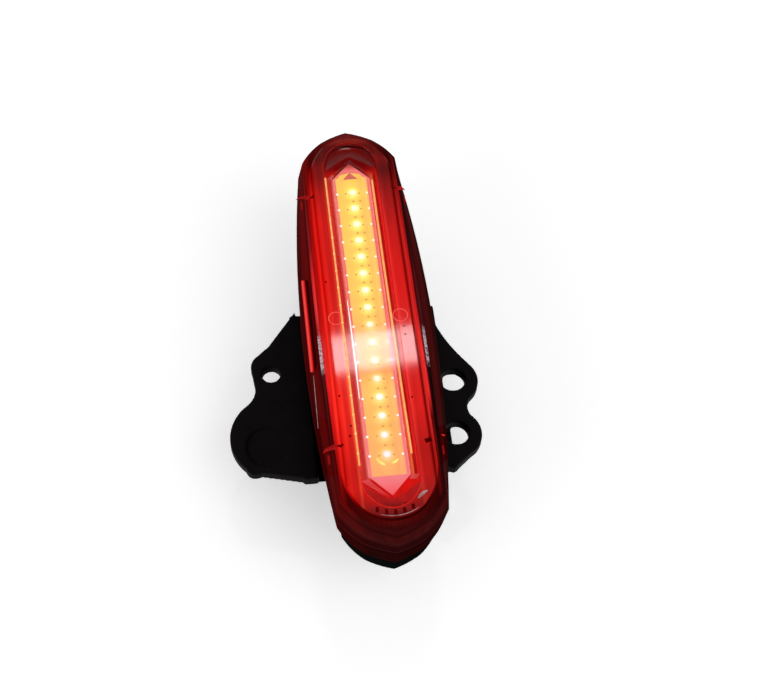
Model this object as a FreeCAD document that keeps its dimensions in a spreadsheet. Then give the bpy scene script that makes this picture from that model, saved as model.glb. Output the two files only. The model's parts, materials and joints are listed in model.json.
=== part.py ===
import FreeCAD, Part
import math
import os
import Sketcher

# A rechargeable bicycle tail light on a rubber seat-post saddle.
# Millimetres. +Z points out through the lens, the long axis lies along Y, and
# the light rests on the two long lands of its saddle at z = 0. All pieces are
# drawn about the light's own centre line; one shift at the end puts the origin
# under the middle of the whole part.

doc = FreeCAD.newDocument("TailLight")
sheet = doc.addObject("Spreadsheet::Sheet", "Sizes")

SIZES = [
    # heights above the resting lands
    ("saddle_top", 8.4, "flat on which the clip plate sits"),
    ("hull_lift", 3.6, "saddle's flat to the outside bottom of the rear housing"),
    ("upper_tier", 3.6, "height of the rear housing's upper tier"),
    ("cell_air", 0.6, "battery to the main board"),
    ("board_air", 0.6, "main board to the joint between rear housing and lens"),
    ("lens_rise", 5.0, "that joint to the flat rim of the lens"),
    ("panel_rise", 1.2, "rim to the top of the raised panel"),
    # lens outline at the joint
    ("body_half", 10.7, "half width at the middle"),
    ("corner_in", 2.1, "corners, in from that half width"),
    ("corner_back", 6.3, "end of the sides, back from the tip of the nose"),
    ("body_brow", 4.7, "half width at the blunt nose facets"),
    ("brow_back", 1.9, "start of the nose facets, back from the tip"),
    ("body_nose", 38.6, "tip of the nose"),
    ("nose_bulge", 0.3, "how far the nose facets swell"),
    ("tip_bulge", 0.6, "swell of the tip's facets, as a share of that"),
    ("corner_follow", 0.7, "an outline drawn in: its corners, along, as a share of its ends"),
    ("brow_follow", 0.5, "the same: half width at the nose facets"),
    # how far the lens rim stands in from the outline at the joint
    ("rim_in_side", 2.2, "at the middle of the sides"),
    ("rim_in_corner", 0.7, "at the corners"),
    ("rim_in_end", 0.7, "at the nose"),
    ("rim_break", 0.5, "broken edge round the rim"),
    # raised panel and the light window in it
    ("panel_in", 3.3, "raised panel, in from the half width"),
    ("panel_corner_back", 12.1, "end of its straight sides, back from the tip of the nose"),
    ("panel_nose_back", 2.8, "its round end, back from the tip of the nose"),
    ("shoulder_share", 0.6, "share of a round end's width under its middle arc"),
    ("end_swell", 0.38, "swell of that arc, as a share of its half width"),
    ("side_swell", 0.26, "swell of the arcs beside it, as a share of their width"),
    ("panel_lean", 0.2, "how far the panel's side leans in; its broken edge, twice as far"),
    ("panel_skin", 0.9, "thickness over the panel"),
    ("panel_side_skin", 0.8, "thickness beside it"),
    ("lens_wall", 1.2, "side wall of the lens"),
    ("window_half", 4.4, "half width of the light window"),
    ("window_corner_back", 9.4, "end of its straight sides, back from the tip of the nose"),
    ("window_nose_back", 4.4, "its round end, back from the tip of the nose"),
    ("window_lip", 0.45, "hidden lip round the window"),
    ("window_lip_deep", 0.4, "thickness of that lip"),
    ("window_proud", 0.15, "how far the window stands over the panel"),
    ("fit_gap", 0.05, "gap round a fixed insert"),
    # lamp strip
    ("lamp_air", 1.7, "lamps to the top of the panel"),
    ("led_tall", 0.6, "height of one lamp"),
    ("led_wide", 1.4, "side of one lamp"),
    ("row_back", 13.85, "last lamp of the row, back from the tip of the nose"),
    ("led_count", 16, "lamps in the row"),
    ("led_mid_y", 0.2, "middle of the row"),
    ("gel_half", 2.6, "half width of the glowing coat"),
    ("gel_past", 3.3, "how far the glowing coat runs past the last lamp's middle"),
    ("gel_deep", 0.3, "thickness of the coat"),
    ("led_board_deep", 1.0, "lamp board thickness"),
    ("led_board_half", 4.4, "lamp board half width"),
    ("led_board_past_side", 0.1, "end of its sides, past the channel's"),
    ("led_board_past_tip", 0.4, "its tip, past the channel's"),
    # reflector tray
    ("tray_skin", 0.7, "tray plate thickness"),
    ("tray_drop", 1.3, "lamp board's top to the tray's underside"),
    ("tray_in", 3.4, "tray, in from the half width"),
    ("tray_swell", 0.5, "how far the tray's sides swell"),
    ("tray_corner_back", 10.2, "end of the tray's sides, back from the tip of the nose"),
    ("tray_nose_back", 5.8, "tip of the tray, back from the tip of the nose"),
    ("tray_well_half", 3.2, "half width of the channel round the lamps"),
    ("well_corner_back", 0.2, "end of that channel's sides, back from the tray's"),
    ("well_nose_back", 1.2, "tip of that channel, back from the tray's"),
    ("tray_step_in", 1.1, "raised middle of the tray, in from its edge"),
    ("tray_step_back", 0.5, "the same at its tip"),
    ("board_room", 0.1, "room round the lamp board"),
    ("rib_pitch", 4.4, "distance between the cross ribs"),
    ("rib_wide", 0.6, "rib thickness"),
    ("rib_count", 6, "ribs on each side and end"),
    ("rib_from_button", 1.4, "first rib to the button's flange"),
    ("rib_root", 0.2, "how far a rib reaches into the raised middle"),
    ("rib_short", 0.3, "its outer end, in from the tray's half width"),
    ("rib_air", 0.15, "a rib's top to the lens"),
    ("boss_size", 0.6, "round marks on the tray, radius"),
    ("boss_tall", 0.2, "height of these marks"),
    ("boss_root", 0.3, "how far they reach into the tray"),
    ("snap_back", 4.5, "snap lugs, back from the end of the tray's sides"),
    ("snap_wide", 1.2, "width of a lug"),
    ("snap_gap", 0.1, "gap round a lug"),
    ("snap_root", 0.5, "how far a lug reaches into the tray"),
    ("snap_slot_in", 0.6, "start of a lug's slot, in from the tray's half width"),
    ("snap_sunk", 0.45, "how far a lug stays behind the lens wall's outside"),
    ("leg_side", 1.2, "side of a tray leg"),
    ("leg_in", 1.1, "tray legs, in from the tray's edge"),
    ("leg_back", 6.9, "tray legs, back from the snap lugs"),
    # rear housing
    ("tier_in_side", 0.5, "lower end of the upper tier, in from the joint outline"),
    ("tier_step", 0.5, "width of the step between the tiers"),
    ("tier_corner", 0.8, "both tiers' insets at the corners, as a share of the sides'"),
    ("tier_end", 0.4, "the upper tier's inset at the nose, as a share of the sides'"),
    ("low_tier_end", 0.5, "the same for the lower tier's top"),
    ("hull_in_side", 1.7, "bottom outline, in from the joint outline"),
    ("hull_corner", 0.7, "the same at the corners, as a share of it"),
    ("hull_in_end", 0.9, "the same at the nose"),
    ("tub_in", 2.4, "inside, in from the half width"),
    ("tub_swell", 1.4, "how far the inside's sides swell"),
    ("tub_corner_back", 2.1, "end of the inside's sides, back from the outside's"),
    ("tub_nose_back", 2.8, "tip of the inside, back from the tip of the nose"),
    ("hull_skin", 1.2, "thickness of the housing's floor"),
    ("seal_in", 0.45, "seal groove, in from the outline"),
    ("seal_wide", 0.6, "seal width"),
    ("seal_deep", 0.6, "seal height"),
    ("post_in", 1.4, "board posts, in from the inside's half width"),
    ("post_back", 10.2, "board posts, back from the end of the inside's sides"),
    ("post_size", 0.9, "board post radius"),
    # screws through the housing into the lens
    ("screw_in", 3.4, "across, in from the corners"),
    ("screw_back", 0.7, "along, back from the corners"),
    ("screw_size", 0.8, "shank radius"),
    ("screw_head", 1.4, "head radius"),
    ("screw_head_deep", 0.9, "head height"),
    ("screw_tip_down", 2.5, "tip of a screw, down from the lens rim"),
    ("screw_tip_room", 0.3, "room past the tip of a screw"),
    ("pillar_size", 1.5, "radius of the lens pillars that take the screws"),
    ("pillar_foot", 0.5, "housing pillars start that far over the outside bottom"),
    ("pillar_tall", 7.5, "height of the housing pillars"),
    ("screw_way", 10.0, "length of the screw bores in the housing"),
    ("screw_room", 0.1, "room round a screw's head"),
    ("cross_slot", 0.18, "half width of a screw's cross, as a share of its head's radius"),
    ("cross_reach", 0.6, "half length of that cross, as a share of it"),
    # inside
    ("board_deep", 0.8, "main board thickness"),
    ("board_in", 1.3, "main board, in from the inside's half width"),
    ("board_corner_back", 7.2, "end of its sides, back from the end of the inside's"),
    ("board_nose_back", 0.4, "its tip, back from the end of the inside's sides"),
    ("cell_in", 2.8, "battery, in from the inside's half width"),
    ("cell_long", 44.0, "battery length"),
    ("cell_mid_y", -2.0, "battery middle"),
    ("cell_deep", 4.2, "battery thickness"),
    ("cell_edge", 0.8, "softened long edges of the battery"),
    ("foam_deep", 0.6, "foam pad thickness"),
    ("foam_in", 1.0, "foam pad, in from the battery's sides"),
    ("foam_back", 2.0, "foam pad, back from the battery's ends"),
    ("guard_drop", 0.5, "battery's middle to the bottom of its guard board"),
    ("guard_in", 0.5, "guard board, in from the battery's sides"),
    ("guard_long", 2.2, "guard board length"),
    ("guard_tall", 0.9, "guard board thickness"),
    ("wire_size", 0.45, "wire radius"),
    ("led_lead_x", 1.6, "lamp wires, out from the centre line"),
    ("led_lead_y", -23.0, "lamp wires, along"),
    ("battery_lead_x", 3.2, "battery wires, out from the centre line"),
    ("coil_x", 2.6, "coil, across"),
    ("coil_y", -5.0, "coil, along"),
    ("coil_size", 2.0, "coil radius"),
    ("coil_tall", 1.8, "coil height"),
    # side button and its switch
    ("button_mid_y", 0.6, "middle of the button"),
    ("button_rise", 2.4, "joint to the middle of the button"),
    ("button_long", 17.0, "button length"),
    ("button_tall", 2.0, "button height"),
    ("button_proud", 0.35, "how far it stands out of the wall"),
    ("button_gap", 0.12, "gap round it"),
    ("button_room", 0.4, "room that its slot and the tray leave round its flange"),
    ("button_lip", 0.5, "how far its hidden flange stands out all round"),
    ("button_sunk", 3.2, "outer face of its flange, in from the half width"),
    ("button_flange", 0.7, "flange thickness"),
    ("plunger_gap", 0.05, "button to plunger at rest"),
    ("plunger_travel", 0.3, "travel of the plunger and the button"),
    ("plunger_long", 1.4, "plunger length"),
    ("plunger_out", 1.0, "how much of it stands out of the switch"),
    ("plunger_wide", 2.0, "plunger width"),
    ("plunger_tall", 1.0, "plunger height"),
    ("plunger_drop", 0.8, "middle of the button to the middle of the plunger"),
    ("switch_deep", 2.0, "switch depth"),
    ("switch_wide", 4.6, "switch width"),
    ("switch_tall", 3.2, "switch height"),
    # charging socket and its cover at the far end
    ("port_half", 3.8, "socket half width"),
    ("port_tall", 2.8, "socket height"),
    ("port_long", 5.8, "socket depth"),
    ("port_wall", 0.3, "socket wall"),
    ("port_back", 0.8, "thickness of its back"),
    ("tongue_in", 1.1, "tongue, in from the socket's sides"),
    ("tongue_drop", 1.0, "socket's roof to the tongue's underside"),
    ("tongue_deep", 0.6, "tongue thickness"),
    ("recess_back", 3.2, "floor of the recess, back from the tip of the nose"),
    ("port_face_back", 0.2, "mouth of the socket, behind that floor"),
    ("recess_in", 0.2, "recess, in from the nose facets"),
    ("recess_down", 5.3, "bottom of the recess, under the joint"),
    ("recess_roof", 1.0, "top of the recess, under the joint"),
    ("cover_side", 0.3, "gap beside the cover and over it"),
    ("cover_foot", 0.5, "gap under the cover"),
    ("cover_deep", 0.9, "cover thickness"),
    ("cover_gap", 0.2, "cover to the recess floor"),
    ("cover_lip", 0.5, "nail ridge along its top"),
    ("cover_slope", 0.3, "slope under that ridge"),
    # quick-release rail under the housing, and the clip plate that holds it
    ("rail_half", 5.6, "half width of the rail's foot"),
    ("rail_neck", 3.8, "half width of the rail's neck"),
    ("rail_foot", 1.1, "thickness of the foot"),
    ("rail_tall", 2.1, "height of the rail"),
    ("rail_far", 7.0, "far end of the rail"),
    ("rail_near", -18.2, "near end of the rail"),
    ("groove_half", 1.7, "half width of the latch groove in the rail"),
    ("groove_deep", 0.9, "depth of that groove"),
    ("slide_gap", 0.2, "clearance of the rail in the clip, up and down"),
    ("slide_side", 0.3, "clearance of the rail in the clip, sideways"),
    ("clip_half", 9.0, "clip plate half width"),
    ("clip_base", 1.3, "clip plate thickness"),
    ("clip_far", 8.0, "far end of the clip plate"),
    ("clip_near", -19.5, "near end of the clip plate"),
    ("clip_stop", 1.0, "thickness of the end stop"),
    ("latch_half", 2.6, "latch finger half width"),
    ("latch_gap", 0.4, "gap beside the latch finger"),
    ("latch_root", -10.0, "root of the latch finger"),
    ("latch_tip", -22.6, "thumb end of the latch finger"),
    ("latch_deep", 0.8, "latch thickness"),
    ("latch_lift", 0.35, "saddle's flat to the underside of the latch"),
    ("latch_pin_lift", 0.7, "saddle's flat to the latch pin"),
    ("latch_pin_size", 0.3, "latch pin radius"),
    ("latch_knuckle", 0.6, "radius of the latch's knuckle"),
    ("pin_gap", 0.05, "clearance of the pin in the knuckle"),
    ("latch_pin_past", 2.2, "how far the pin reaches past the latch's slot"),
    ("latch_room", 0.2, "room behind the knuckle"),
    ("latch_slot_over", 0.9, "how far the slot cuts into the stop, over the plate"),
    ("latch_tooth", 0.8, "tooth height"),
    ("tooth_half", 1.3, "half width of the tooth"),
    ("tooth_back", 1.2, "tooth, back from the end stop"),
    ("tooth_long", 2.2, "length of the tooth at its foot"),
    ("tooth_crest", 1.4, "length of its crest"),
    ("ridge_in", 0.4, "thumb ridges, in from the finger's sides and tip"),
    ("ridge_wide", 0.4, "width of a ridge"),
    ("ridge_pitch", 0.8, "distance between ridges"),
    ("ridge_tall", 0.25, "height of a ridge"),
    ("latch_well", 1.2, "depth of the pocket under the latch"),
    ("core_half", 7.5, "half width of the plate in the saddle"),
    ("core_deep", 1.0, "thickness of the plate in the saddle"),
    ("core_far", 7.0, "far end of that plate"),
    ("core_near", -8.8, "near end of that plate"),
    ("clip_screw_a", 4.6, "far clip screw"),
    ("clip_screw_b", -6.4, "near clip screw"),
    ("clip_shank", 0.9, "radius of their shanks"),
    ("clip_head", 1.75, "radius of their heads"),
    ("clip_head_deep", 0.5, "height of the heads"),
    ("clip_sink", 0.6, "depth of the sinks for the heads"),
    ("clip_cross_slot", 0.25, "half width of the cross in a head"),
    ("clip_cross_reach", 1.0, "half length of that cross"),
    ("clip_cross_deep", 0.3, "depth of that cross"),
    # rubber saddle
    ("post_seat", 13.6, "radius of the seat post that it fits"),
    ("seat_half_angle", 54.5, "half of the arc on which the post lies"),
    ("land_wide", 0.9, "width of each resting land"),
    ("flank_rise", 3.0, "height of the sloping flank between land and wing"),
    ("saddle_reach", 30.0, "length past which the saddle's long cuts run"),
    ("cradle_out", 12.2, "outside of the cradle wall"),
    ("cradle_in", 9.9, "inside of the cradle wall"),
    ("ear_rise", 4.1, "saddle's flat to the top of the ears"),
    ("ear_deep", 2.2, "thickness of the ears"),
    ("saddle_far", 8.0, "far end of the saddle's foot"),
    ("saddle_near", -15.0, "near end of the saddle's foot"),
    ("saddle_far_top", 9.2, "far end of the saddle at the ears"),
    ("saddle_near_top", -21.4, "near end of the saddle at the ears"),
    ("ear_a_x", 13.5, "far right ear, across"),
    ("ear_a_y", -5.6, "far right ear, along"),
    ("ear_b_x", 12.7, "near right ear, across"),
    ("ear_b_y", -15.5, "near right ear, along"),
    ("ear_size", 4.2, "outer radius of the right ears"),
    ("eye_size", 2.05, "radius of the eyes in the right ears"),
    ("wing_root", 1.0, "how far the ears' plates reach into the cradle wall"),
    ("web_past", 0.3, "near end of the web between the ears, past the saddle's"),
    ("web_back", 1.2, "far end of that web, back from the saddle's"),
    ("web_foot", 0.5, "width of that web at its ends"),
    ("web_slope", 1.2, "slope at its far end"),
    ("wing_past", 0.8, "far end of the left wing, past the saddle's"),
    ("hook_x", 16.0, "left far ear: eye from the centre line"),
    ("hook_y", -1.8, "left far ear: eye along"),
    ("hook_eye", 1.5, "radius of the eye in the left far ear"),
    ("hook_reach", 19.3, "outer edge of the left far ear"),
    ("tab_reach", 23.4, "outer edge of the left pull tab"),
    ("dish_in", 6.0, "middle of the thumb dish, in from the tab's outer edge"),
    ("dish_up", 6.4, "middle of the thumb dish, from the near end"),
    ("dish_half", 2.55, "half of the side of the dish"),
    ("dish_round", 0.95, "how far each of its sides stands out"),
    ("dish_deep", 0.5, "depth of the thumb dish"),
    # how forms meet
    ("root", 0.2, "how far an added form reaches into what carries it"),
    ("past", 1.0, "how far a cut runs past the face that it leaves"),
]


class Size:
    """A length with its number and the sheet formula that gives it."""

    def __init__(self, value, text):
        self.value = value
        self.text = text

    def __add__(self, other):
        other = as_size(other)
        return Size(self.value + other.value, "(" + self.text + " + " + other.text + ")")

    def __sub__(self, other):
        other = as_size(other)
        return Size(self.value - other.value, "(" + self.text + " - " + other.text + ")")

    def __mul__(self, other):
        other = as_size(other)
        return Size(self.value * other.value, "(" + self.text + " * " + other.text + ")")

    def __truediv__(self, other):
        other = as_size(other)
        return Size(self.value / other.value, "(" + self.text + " / " + other.text + ")")

    def __neg__(self):
        return Size(-self.value, "(0 - " + self.text + ")")

    def __radd__(self, other):
        return as_size(other) + self

    def __rsub__(self, other):
        return as_size(other) - self

    def __rmul__(self, other):
        return as_size(other) * self


def as_size(thing):
    """Plain numbers take part in the formulas too."""
    if isinstance(thing, Size):
        return thing
    return Size(float(thing), "(" + repr(float(thing)) + ")")


def fill_sheet():
    """Write the driving dimensions, one to a row: name, number, meaning."""
    for row, (name, number, words) in enumerate(SIZES, start=1):
        sheet.set("A" + str(row), name)
        sheet.set("B" + str(row), str(number))
        sheet.set("C" + str(row), words)
        sheet.setAlias("B" + str(row), name)
    doc.recompute()


def s(name):
    """The sheet's dimension of that name."""
    return Size(float(sheet.get(name)), "Sizes." + name)


fill_sheet()

# Where the light's centre line goes, so that the origin ends up under the
# middle of the whole part.
SHIFT_X = (s("tab_reach") - (s("ear_a_x") + s("ear_size"))) / 2
SHIFT_Y = as_size(0)

# Bulge of an arc that is all but a half circle, as a share of its radius.
HALF_ROUND = 0.999

# Heights, stacked from the saddle's flat up.
HULL_FLOOR = s("saddle_top") + s("hull_lift")
CELL_LOW = HULL_FLOOR + s("hull_skin") + s("foam_deep")
BOARD_TOP = CELL_LOW + s("cell_deep") + s("cell_air") + s("board_deep")
PART_LINE = BOARD_TOP + s("board_air")
HULL_STEP = PART_LINE - s("upper_tier")
LEDGE_TOP = PART_LINE + s("lens_rise")
PANEL_TOP = LEDGE_TOP + s("panel_rise")
LED_TOP = PANEL_TOP - s("lamp_air")
SCREW_TIP = LEDGE_TOP - s("screw_tip_down")
SCREW_LONG = SCREW_TIP - HULL_FLOOR - s("screw_head_deep")
BUTTON_MID_Z = PART_LINE + s("button_rise")
PLUNGER_Z = BUTTON_MID_Z - s("plunger_drop")
RECESS_LOW = PART_LINE - s("recess_down")
RECESS_HIGH = PART_LINE - s("recess_roof")
COVER_LOW = RECESS_LOW + s("cover_foot")
COVER_TALL = RECESS_HIGH - COVER_LOW - s("cover_side")
EAR_TOP = s("saddle_top") + s("ear_rise")
LATCH_LOW = s("saddle_top") + s("latch_lift")
LATCH_PIN_Z = s("saddle_top") + s("latch_pin_lift")
LATCH_PIN_HALF = s("latch_half") + s("latch_gap") + s("latch_pin_past")
LATCH_ROOM_END = s("latch_root") + s("latch_knuckle") + s("latch_room")

# Half widths, in from the body's own.
BODY_CORNER = s("body_half") - s("corner_in")
PANEL_HALF = s("body_half") - s("panel_in")
TRAY_HALF = s("body_half") - s("tray_in")
TRAY_STEP_HALF = TRAY_HALF - s("tray_step_in")
LEG_X = TRAY_HALF - s("leg_in")
TUB_HALF = s("body_half") - s("tub_in")
TUB_CORNER = TUB_HALF - s("tub_swell")
POST_X = TUB_HALF - s("post_in")
SCREW_X = BODY_CORNER - s("screw_in")
BOARD_HALF = TUB_HALF - s("board_in")
CELL_HALF = TUB_HALF - s("cell_in")
BUTTON_BACK = s("body_half") - s("button_sunk")
RECESS_HALF = s("body_brow") - s("recess_in")
COVER_HALF = RECESS_HALF - s("cover_side")

# Lengths, back from the tip of the nose.
BODY_CORNER_Y = s("body_nose") - s("corner_back")
BODY_BROW_Y = s("body_nose") - s("brow_back")
PANEL_CORNER_Y = s("body_nose") - s("panel_corner_back")
PANEL_NOSE = s("body_nose") - s("panel_nose_back")
WINDOW_CORNER_Y = s("body_nose") - s("window_corner_back")
WINDOW_NOSE = s("body_nose") - s("window_nose_back")
TRAY_CORNER_Y = s("body_nose") - s("tray_corner_back")
TRAY_NOSE = s("body_nose") - s("tray_nose_back")
ROW_HALF = s("body_nose") - s("row_back")
LED_PITCH = ROW_HALF * 2 / (s("led_count") - 1)
GEL_LONG = (ROW_HALF + s("gel_past")) * 2
TRAY_WELL_CORNER_Y = TRAY_CORNER_Y - s("well_corner_back")
TRAY_WELL_NOSE = TRAY_NOSE - s("well_nose_back")
LED_BOARD_CORNER_Y = TRAY_WELL_CORNER_Y + s("led_board_past_side")
LED_BOARD_NOSE = TRAY_WELL_NOSE + s("led_board_past_tip")
SNAP_Y = TRAY_CORNER_Y - s("snap_back")
LEG_Y = SNAP_Y - s("leg_back")
TUB_CORNER_Y = BODY_CORNER_Y - s("tub_corner_back")
TUB_NOSE = s("body_nose") - s("tub_nose_back")
POST_Y = TUB_CORNER_Y - s("post_back")
SCREW_Y = BODY_CORNER_Y - s("screw_back")
BOARD_CORNER_Y = TUB_CORNER_Y - s("board_corner_back")
BOARD_NOSE = TUB_CORNER_Y - s("board_nose_back")
RECESS_FLOOR = s("body_nose") - s("recess_back")
PORT_FACE = RECESS_FLOOR - s("port_face_back")


def bind(thing, prop, size):
    """Tie one property of an object to the sheet."""
    size = as_size(size)
    thing.setExpression(prop, size.text)


def make_body(name):
    """An empty body for one piece."""
    body = doc.addObject("PartDesign::Body", name + "_body")
    body.Label = name
    return body


def plane_of(body, role):
    """One of the body's own origin planes."""
    for feature in body.Origin.OriginFeatures:
        if feature.Role == role:
            return feature
    raise ValueError(role)


def make_sketch(body, name, role="XY_Plane", offset=0):
    """A sketch on an origin plane of its body, moved along the plane's normal."""
    sketch = body.newObject("Sketcher::SketchObject", name)
    sketch.AttachmentSupport = [(plane_of(body, role), "")]
    sketch.MapMode = "FlatFace"
    offset = as_size(offset)
    sketch.AttachmentOffset = FreeCAD.Placement(
        FreeCAD.Vector(0, 0, offset.value), FreeCAD.Rotation()
    )
    bind(sketch, "AttachmentOffset.Base.z", offset)
    return sketch


def tie(sketch, constraint, size):
    """Add a dimension to the sketch and tie it to the sheet."""
    number = sketch.addConstraint(constraint)
    sketch.setExpression("Constraints[" + str(number) + "]", size.text)


def draw_outline(sketch, corners):
    """A closed outline. Each corner is (x, y) or (x, y, bulge), where bulge is
    how far the edge to the next corner stands out to the right as an arc."""
    corners = [tuple(as_size(v) for v in corner) for corner in corners]
    first = sketch.GeometryCount
    total = len(corners)
    for number, corner in enumerate(corners):
        draw_edge(sketch, corner, corners[(number + 1) % total])
    for number, corner in enumerate(corners):
        after = (number + 1) % total
        join_edges(sketch, first + number, corner, first + after, corners[after])
    for number, corner in enumerate(corners):
        pin_corner(sketch, first + number, corner)
    for number, corner in enumerate(corners):
        if len(corner) == 3:
            radius = arc_radius(corner, corners[(number + 1) % total])
            tie(sketch, Sketcher.Constraint("Radius", first + number, radius.value), radius)


def draw_edge(sketch, corner, after):
    """A straight edge, or an arc that bulges to the right of its way."""
    start = FreeCAD.Vector(corner[0].value, corner[1].value, 0)
    end = FreeCAD.Vector(after[0].value, after[1].value, 0)
    if len(corner) == 2:
        sketch.addGeometry(Part.LineSegment(start, end), False)
        return
    way = (end - start).normalize()
    out = FreeCAD.Vector(way.y, -way.x, 0)
    middle = (start + end) * 0.5 + out * corner[2].value
    sketch.addGeometry(Part.Arc(start, middle, end), False)


def ends_of(corner):
    """The codes of the points at which the corner's edge leaves and arrives.
    An arc is kept counterclockwise, so one that bends inward is reversed."""
    if len(corner) == 3 and corner[2].value < 0:
        return 2, 1
    return 1, 2


def join_edges(sketch, this, corner, after, next_corner):
    """Tie the end of one edge to the start of the next."""
    arrive = ends_of(corner)[1]
    leave = ends_of(next_corner)[0]
    sketch.addConstraint(Sketcher.Constraint("Coincident", this, arrive, after, leave))


def pin_corner(sketch, edge, corner):
    """Fix the corner from which an edge leaves."""
    code = ends_of(corner)[0]
    tie(sketch, Sketcher.Constraint("DistanceX", -1, 1, edge, code, corner[0].value), corner[0])
    tie(sketch, Sketcher.Constraint("DistanceY", -1, 1, edge, code, corner[1].value), corner[1])


def arc_radius(corner, after):
    """The radius of an arc from its chord and its bulge."""
    across = after[0] - corner[0]
    along = after[1] - corner[1]
    bulge = corner[2]
    if bulge.value < 0:
        bulge = -bulge
    return ((across * across + along * along) / 4 + bulge * bulge) / (bulge * 2)


def draw_circle(sketch, x, y, radius):
    """A circle whose centre and radius come from the sheet."""
    x, y, radius = as_size(x), as_size(y), as_size(radius)
    centre = FreeCAD.Vector(x.value, y.value, 0)
    ring = Part.Circle(centre, FreeCAD.Vector(0, 0, 1), radius.value)
    edge = sketch.addGeometry(ring, False)
    tie(sketch, Sketcher.Constraint("Radius", edge, radius.value), radius)
    tie(sketch, Sketcher.Constraint("DistanceX", -1, 1, edge, 3, x.value), x)
    tie(sketch, Sketcher.Constraint("DistanceY", -1, 1, edge, 3, y.value), y)


def draw_box(sketch, left, right, low, high):
    """A rectangle between two pairs of coordinates."""
    draw_outline(sketch, [(left, low), (right, low), (right, high), (left, high)])


def pad(body, sketch, length, name, down=False):
    """Add material along the sketch's normal, or against it."""
    feature = body.newObject("PartDesign::Pad", name)
    feature.Profile = sketch
    feature.Reversed = down
    feature.Length = as_size(length).value
    bind(feature, "Length", length)
    finish_feature(body, feature, sketch)
    return feature


def pocket(body, sketch, length, name, down=True):
    """Cut along the sketch's normal or against it, and see that it did cut."""
    before = body.Shape.Volume
    feature = body.newObject("PartDesign::Pocket", name)
    feature.Profile = sketch
    feature.Reversed = not down
    feature.Length = as_size(length).value
    bind(feature, "Length", length)
    finish_feature(body, feature, sketch)
    if feature.Shape.isNull() or body.Shape.Volume > before - 1e-4:
        raise RuntimeError("nothing was cut by " + name)
    return feature


def finish_feature(body, feature, sketch):
    """Recompute after each step, so that the next one has a base."""
    body.Tip = feature
    sketch.Visibility = False
    doc.recompute()


def loft(body, sketches, name, cut=False):
    """Straight-sided loft between sketches, to add or to cut."""
    kind = "PartDesign::SubtractiveLoft" if cut else "PartDesign::AdditiveLoft"
    feature = body.newObject(kind, name)
    feature.Profile = sketches[0]
    feature.Sections = sketches[1:]
    feature.Ruled = True
    finish_feature(body, feature, sketches[0])
    return feature


def block(body, name, left, right, low, high, bottom, tall):
    """A box between coordinates, as a pad of its own."""
    sketch = make_sketch(body, name + "_plan", offset=bottom)
    draw_box(sketch, left, right, low, high)
    return pad(body, sketch, tall, name)


def cut_block(body, name, left, right, low, high, bottom, tall):
    """A box-shaped cut between coordinates, upward from its bottom."""
    sketch = make_sketch(body, name + "_plan", offset=bottom)
    draw_box(sketch, left, right, low, high)
    return pocket(body, sketch, tall, name, down=False)


def disc(body, name, x, y, radius, bottom, tall):
    """A round pad."""
    sketch = make_sketch(body, name + "_plan", offset=bottom)
    draw_circle(sketch, x, y, radius)
    return pad(body, sketch, tall, name)


def cut_disc(body, name, x, y, radius, bottom, tall):
    """A round hole, upward from its bottom."""
    sketch = make_sketch(body, name + "_plan", offset=bottom)
    draw_circle(sketch, x, y, radius)
    return pocket(body, sketch, tall, name, down=False)


def ten_sided(half, corner, corner_y, brow, brow_y, nose):
    """Outline with bulging sides, cut corners and a blunt pointed nose at each end."""
    side = half - corner
    swell = s("nose_bulge")
    tip = swell * s("tip_bulge")
    return [
        (0, -nose, tip),
        (brow, -brow_y, swell),
        (corner, -corner_y, side),
        (corner, corner_y, swell),
        (brow, brow_y, tip),
        (0, nose, tip),
        (-brow, brow_y, swell),
        (-corner, corner_y, side),
        (-corner, -corner_y, swell),
        (-brow, -brow_y, tip),
    ]


def six_sided(half, corner_y, nose):
    """Long outline with straight sides and a point at each end."""
    return [
        (0, -nose),
        (half, -corner_y),
        (half, corner_y),
        (0, nose),
        (-half, corner_y),
        (-half, -corner_y),
    ]


def body_outline(inset_side, inset_corner, inset_end):
    """The light's outline at the joint, drawn in by the given amounts."""
    return ten_sided(
        s("body_half") - inset_side,
        BODY_CORNER - inset_corner,
        BODY_CORNER_Y - inset_end * s("corner_follow"),
        s("body_brow") - inset_end * s("brow_follow"),
        BODY_BROW_Y - inset_end,
        s("body_nose") - inset_end,
    )


def round_ended(half, corner_y, nose):
    """Long outline with straight sides and an end of three arcs at each end."""
    shoulder = half * s("shoulder_share")
    swell = shoulder * s("end_swell")
    side = (half - shoulder) * s("side_swell")
    shoulder_y = nose - swell
    return [
        (half, -corner_y),
        (half, corner_y, side),
        (shoulder, shoulder_y, swell),
        (-shoulder, shoulder_y, side),
        (-half, corner_y),
        (-half, -corner_y, side),
        (-shoulder, -shoulder_y, swell),
        (shoulder, -shoulder_y, side),
    ]


def panel_outline(inset):
    """The raised panel's outline, drawn in."""
    return round_ended(PANEL_HALF - inset, PANEL_CORNER_Y, PANEL_NOSE - inset)


def place(thing):
    """Move a finished piece from the light's centre line to the part's origin."""
    bind(thing, "Placement.Base.x", SHIFT_X)
    bind(thing, "Placement.Base.y", SHIFT_Y)


LENS_TALL = LEDGE_TOP - PART_LINE
PANEL_TALL = PANEL_TOP - LEDGE_TOP
LED_FLOOR = LED_TOP - s("led_tall")
TRAY_LOW = LED_FLOOR - s("tray_drop")
LEDGE_SKIN = s("panel_skin")
SIDE_BEHIND = s("rim_in_side") / LENS_TALL


def half_at(z):
    """The body's half width at a height on the sloping lens wall, at the middle."""
    return s("body_half") - (z - PART_LINE) * SIDE_BEHIND


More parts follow.
